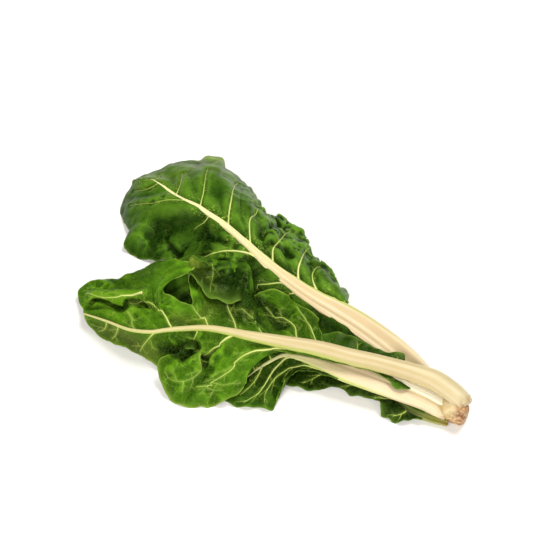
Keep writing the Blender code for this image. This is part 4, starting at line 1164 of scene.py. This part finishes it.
# the lowest, dark and narrow
underLeaf = anyLeaf | {
    "shady": True, "blade": (1.4, 8.3), "seed": 41, "overlap": 1.2,
    "branch": (8, 9, 50, 0.3, (0.7, 0.35), (0.45, 0.1), 6),
    "twig": (5.5, 5, 60, 0.2, (0.4, 0.25), (0.2, 0), 5), "savoy": (1.2, 3.5, 0.4, 1.6), "trough": 0.5,
    "puff": 1.4, "ruffle": (1.3, 15), "wrinkle": 1, "crinkle": 0.5, "edgeWave": 1.2, "ragged": 1.2,
    "tuck": 0.5, "paint": "green", "sides": 48, "ribs": 12, "ribHeight": 0.08, "dent": 0.25, "greenSide": 1,
    "seam": -30, "channel": 0.08,
    "rib": [
        (227.5, -68.5, 4.4, 7, 3.2), (212, -72, 4.8, 8, 3.8), (192, -75, 7, 8, 4.4), (172, -72, 8, 8, 4.5),
        (149, -70, 7, 7.5, 4), (122, -69, 7.5, 7, 3.8), (94, -71, 7.5, 6, 3.2), (70, -75, 6.5, 4, 2.4),
        (52, -79, 5, 2.6, 1.6), (40, -83, 3, 1.6, 1),
    ],
}
underFar = anyHalf | {
    "columns": 190, "rows": 40,
    "margin": [
        (205, -69, 5), (186, -60, 4), (165, -52, 4), (140, -46, 4), (115, -45, 2.5), (90, -48, 4),
        (68, -53, 5), (50, -66, 4), (40, -83, 3),
    ],
    "veins": [
        (1.4, 0), (3, 2, 165, -60, 6), (4.2, 4, 128, -56, 6), (5.6, 6, 86, -62, 6.5), (7.2, 7.2, 58, -70, 5),
        (9, 8),
    ],
    "lines": [
        ([(3, 0), (3.2, 0.5), (3.4, 0.85)], (1.2, 0.5)), ([(4.2, 0), (4.4, 0.5), (4.6, 0.85)], (1.2, 0.5)),
        ([(5.6, 0), (5.8, 0.5), (6, 0.85)], (1.1, 0.5)), ([(7.2, 0), (7.3, 0.5), (7.5, 0.85)], (0.9, 0.4)),
    ],
}
underNear = anyHalf | {
    "columns": 230, "rows": 40,
    "margin": [
        (205, -79.5, 6.5), (196, -82, 5), (190, -88, 5), (184, -91, 1), (176, -91, 1), (170, -91, 3),
        (165, -87, 6), (161, -81, 8), (153, -80, 4), (143, -80, 1), (131, -84, 2), (120, -84, 5),
        (110, -88, 2), (99, -97, 0.5), (85, -103, 3), (71, -105, 0.5), (58, -101, 1), (46, -93, 1),
        (40, -83, 3),
    ],
    "veins": [
        (1.4, 0), (2.2, 3.5, 188, -83, 7), (3.2, 7, 166, -78, 9), (4.4, 10, 134, -77, 7),
        (5.6, 13, 100, -84, 6), (6.8, 16, 70, -89, 4.5), (9, 18),
    ],
    "lines": [
        ([(2.2, 0), (2.3, 0.5), (2.4, 0.85)], (1.2, 0.5)), ([(3.2, 0), (3.4, 0.5), (3.6, 0.85)], (1.2, 0.5)),
        ([(4.4, 0), (4.6, 0.5), (4.8, 0.85)], (1.1, 0.5)), ([(5.6, 0), (5.8, 0.5), (6, 0.85)], (1.1, 0.5)),
        ([(6.8, 0), (7, 0.5), (7.2, 0.85)], (0.9, 0.4)),
    ],
    "crumples": [([(2.2, 0.8), (4.4, 0.8), (6.8, 0.8)], 1.6, 9)],
    "paintedShades": [([(1.8, 0.4), (4.4, 0.5), (6.8, 0.5)], 1, 26)],
}
makeLeaf("under_leaf", underLeaf, underFar, underNear)

# small, between the back and the top leaf's stalks
innerLeaf = anyLeaf | {
    "blade": (2.8, 6.3), "seed": 53, "overlap": 1, "branch": (7, 8, 50, 0.3, (0.6, 0.3), (0.45, 0.1), 6),
    "twig": (5, 4, 60, 0.2, (0.4, 0.25), (0.2, 0), 5), "savoy": (0.5, 3.5, 0.3, 1.6), "trough": 0.2,
    "puff": 1, "ruffle": (0.8, 16), "wrinkle": 0.6, "crinkle": 0.4, "edgeWave": 0.8, "ragged": 0.6,
    "tuck": 0.4, "paint": "lit_white", "sides": 48, "ribs": 10, "ribHeight": 0.08, "dent": 0.25, "greenSide": 1,
    "seam": -30, "bulge": 0.25,
    "rib": [
        (223.7, -59, 17, 7, 4.4), (211, -57.8, 18.5, 8, 5), (200, -57, 19.5, 8.6, 5),
        (180, -57.3, 21, 8.8, 5), (154, -54.5, 22.5, 7.5, 4.6), (125, -55.5, 23, 6, 4),
        (97, -61, 22.5, 4.5, 3), (72, -62, 21, 2, 1.4),
    ],
}
innerFar = anyHalf | {
    "columns": 150, "rows": 32,
    "margin": [
        (182, -52, 21.5), (172, -44, 24), (165, -37, 25.5), (162, -31.5, 26), (155, -33.5, 26),
        (145, -38, 25.5), (130, -37, 25), (113, -35.5, 24.5), (94, -37, 23.5), (78, -50, 21), (72, -62, 21),
    ],
    "veins": [(2.8, 0), (3.7, 3, 166, -46, 25), (5, 6, 124, -46, 25), (7, 10)],
    "lines": [
        ([(3.7, 0), (3.9, 0.5), (4, 0.85)], (1.1, 0.5)), ([(5, 0), (5.2, 0.5), (5.4, 0.85)], (1.1, 0.5)),
    ],
    "paintedShades": [([(3, 0.8), (4.5, 0.85), (6, 0.9)], 0.8, 14)],
}
innerNear = anyHalf | {
    "columns": 130, "rows": 30,
    "margin": [
        (182, -65, 22), (178, -69, 24), (171, -71, 24.8), (164, -68, 26), (154, -66, 26.5), (140, -62, 26.5),
        (122, -62, 26), (104, -65, 25), (86, -66, 23), (72, -62, 21),
    ],
    "veins": [(2.8, 0), (3.5, 3, 168, -65, 26), (5.1, 6.5, 116, -64, 25), (7, 9)],
    "lines": [
        ([(3.5, 0), (3.7, 0.5), (3.9, 0.85)], (1.1, 0.5)), ([(5.1, 0), (5.3, 0.5), (5.5, 0.85)], (1.1, 0.5)),
    ],
}
makeLeaf("inner_leaf", innerLeaf, innerFar, innerNear)

crown = {
    "sides": 200, "rings": 110,
    "profile": [  # x, y and z of the middle, radius sideways and upwards
        (209, -56, 12, 3, 3), (213, -56.3, 12.2, 6, 5.5), (218, -56.8, 12.4, 9, 8.3),
        (223, -57, 12.6, 11.5, 11), (228, -57, 12.7, 12.8, 12.6), (232, -57, 12.7, 12.8, 12.7),
        (236, -57.4, 12.2, 11.6, 12.1), (239, -58, 11.6, 9.2, 10), (240.6, -58.4, 11.2, 6, 6.6),
        (241, -58.5, 11, 3, 3.2),
    ],
    "lobes": (5, 0.05, 0.4),  # how many, their height as a share of the radius, and their turn
    "grain": ((5, 3), (2.2, 7), (1.1, 9)),  # size of each noise in mm, and its seed
    "rough": 0.35, "roughHeight": 0.35,  # how rough, and the height in mm for a rough of 1
    "cutFrom": (223, 233),  # x over which the cork starts
    "cutLean": (0.45, 0.25, 0.8),  # what z and y take from x, and what the grain adds, for each mm
    "middle": (-57, 12),  # y and z from which the cut leans
    "push": (0.6, 0, 0),  # what is added to the way outwards in which the grain rises
}
crownGrain = {  # waves to the metre, detail, and the range that is spread out
    "flesh": (120, 3.0, 0.35, 0.65), "cork": (260, 4.0, 0.38, 0.6), "edge": (170, 4.0, 0.3, 0.52),
    "skin": (600, 5.0),
}
crownPaint = {
    "flesh": ((0.72, 0.58, 0.34), (0.5, 0.37, 0.15)), "cork": ((0.6, 0.36, 0.17), (0.2, 0.08, 0.03)),
    "rough": 0.6, "relief": (0.6, 0.0006),  # strength, and height in metres
}


def makeCrown(look):
    # ellipses round a level axis, five lobes as a sine of the angle, roughened by noise at three sizes
    at = np.linspace(0, len(look["profile"]) - 1, look["rings"])
    x, y, z, sideways, upwards = (column[:, None] for column in smoothLine(look["profile"], at).T)
    angle = np.linspace(0, 2 * np.pi, look["sides"], endpoint=False)[None, :]
    cos, sin = np.cos(angle), np.sin(angle)
    count, height, turn = look["lobes"]
    lobes = 1 + height * np.sin(count * angle + np.pi) * np.cos(angle / 2 + turn) ** 2
    outward = np.stack([0 * angle + 0 * x, cos + 0 * x, sin + 0 * x], axis=-1)
    rings = np.stack([x + 0 * angle, y + sideways * lobes * cos, z + upwards * lobes * sin], axis=-1)
    cork = sum(softNoise(rings, size, seed) * size for size, seed in look["grain"])
    rings = rings + (outward + look["push"]) * (look["rough"] * look["roughHeight"] * cork)[..., None]
    rings[..., 2] = np.maximum(rings[..., 2], 0)
    upright, level, grained = look["cutLean"]
    y, z = look["middle"]
    cutWay = rings[..., 0] - upright * (rings[..., 2] - z) - level * (rings[..., 1] - y) + grained * cork
    values = {"cut": easeStep(*look["cutFrom"], cutWay)}
    return tubePiece("fine_crown", rings, values, crownMaterial("crown"))


def crownMaterial(name):
    # cream root flesh, turning to tan and brown cork over the cut end
    material, tree, shader, place = newMaterial(name)
    flesh, cork = (mixed(tree, clouds(tree, place, *crownGrain[key]), *crownPaint[key])
                   for key in ("flesh", "cork"))
    setInputs(tree, shader, {
        "Base Color": laid(tree, flesh, "cut", clouds(tree, place, *crownGrain["edge"]), cork),
        "Roughness": crownPaint["rough"],
        "Normal": raised(tree, grain(tree, place, *crownGrain["skin"]), *crownPaint["relief"]),
    })
    return material


crownPiece = makeCrown(crown)
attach(crownPiece, "root")
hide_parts("crown")
print("crown made:", len(crownPiece.data.polygons), "faces")


# Floor, light and camera, in metres

stage = {
    "floorSize": 12.0, "floorColour": (0.9, 0.9, 0.9), "floorGlow": 0.06, "floorRough": 0.9,
    "skyColour": (1.0, 0.96, 0.88), "skyStrength": 0.24,
    "key": {"place": (0.12, 0.75, 1.4), "size": 0.8, "power": 24.0, "colour": (1.0, 0.98, 0.93)},
    "fill": {"place": (0.25, -1.1, 0.85), "size": 1.0, "power": 19.0, "colour": (1.0, 0.96, 0.9)},
}
photoView = {
    "target": (-0.013, 0.022, 0.02), "azimuth": 30.0, "elevation": 48.0, "distance": 1.11, "lens": 70.0,
    "sensor": 36.0,
}


def makeStage(look):
    # a level square under the plant and a plain bright sky
    half = look["floorSize"] / 2
    mesh = bpy.data.meshes.new("floor")
    corners = [(-half, -half, 0), (half, -half, 0), (half, half, 0), (-half, half, 0)]
    mesh.from_pydata(corners, [], [(0, 1, 2, 3)])
    material, tree, shader, place = newMaterial("floor")
    setInputs(tree, shader, {
        "Base Color": paint(look["floorColour"]), "Emission Color": paint((1, 1, 1)),
        "Emission Strength": look["floorGlow"], "Roughness": look["floorRough"],
    })
    mesh.materials.append(material)
    floor = placed("floor", mesh)
    world = bpy.data.worlds.new("sky")
    world.use_nodes = True
    setInputs(world.node_tree, world.node_tree.nodes["Background"],
              {"Color": paint(look["skyColour"]), "Strength": look["skyStrength"]})
    bpy.context.scene.world = world
    world.cycles_visibility.glossy = False


def makeLamp(name, look):
    # a square soft light that faces the plant
    lamp = bpy.data.lights.new(name, "AREA")
    lamp.size, lamp.energy, lamp.color = look["size"], look["power"], look["colour"]
    thing = placed(name, lamp)
    thing.location = look["place"]
    thing.rotation_euler = (-Vector(look["place"])).to_track_quat("-Z", "Y").to_euler()


def makeCamera(look):
    # azimuth turns from looking along +Y, elevation is above the floor
    a, e = math.radians(look["azimuth"]), math.radians(look["elevation"])
    back = Vector((math.sin(a) * math.cos(e), -math.cos(a) * math.cos(e), math.sin(e)))
    lens = bpy.data.cameras.new("camera")
    lens.lens, lens.sensor_width = look["lens"], look["sensor"]
    camera = placed("camera", lens)
    camera.location = Vector(look["target"]) + back * look["distance"]
    camera.rotation_euler = (-back).to_track_quat("-Z", "Y").to_euler()
    bpy.context.scene.camera = camera


makeStage(stage)
makeLamp("key_light", stage["key"])
makeLamp("fill_light", stage["fill"])
makeCamera(photoView)
bpy.context.scene.view_settings.view_transform = "Standard"
print("floor, lights and camera made")
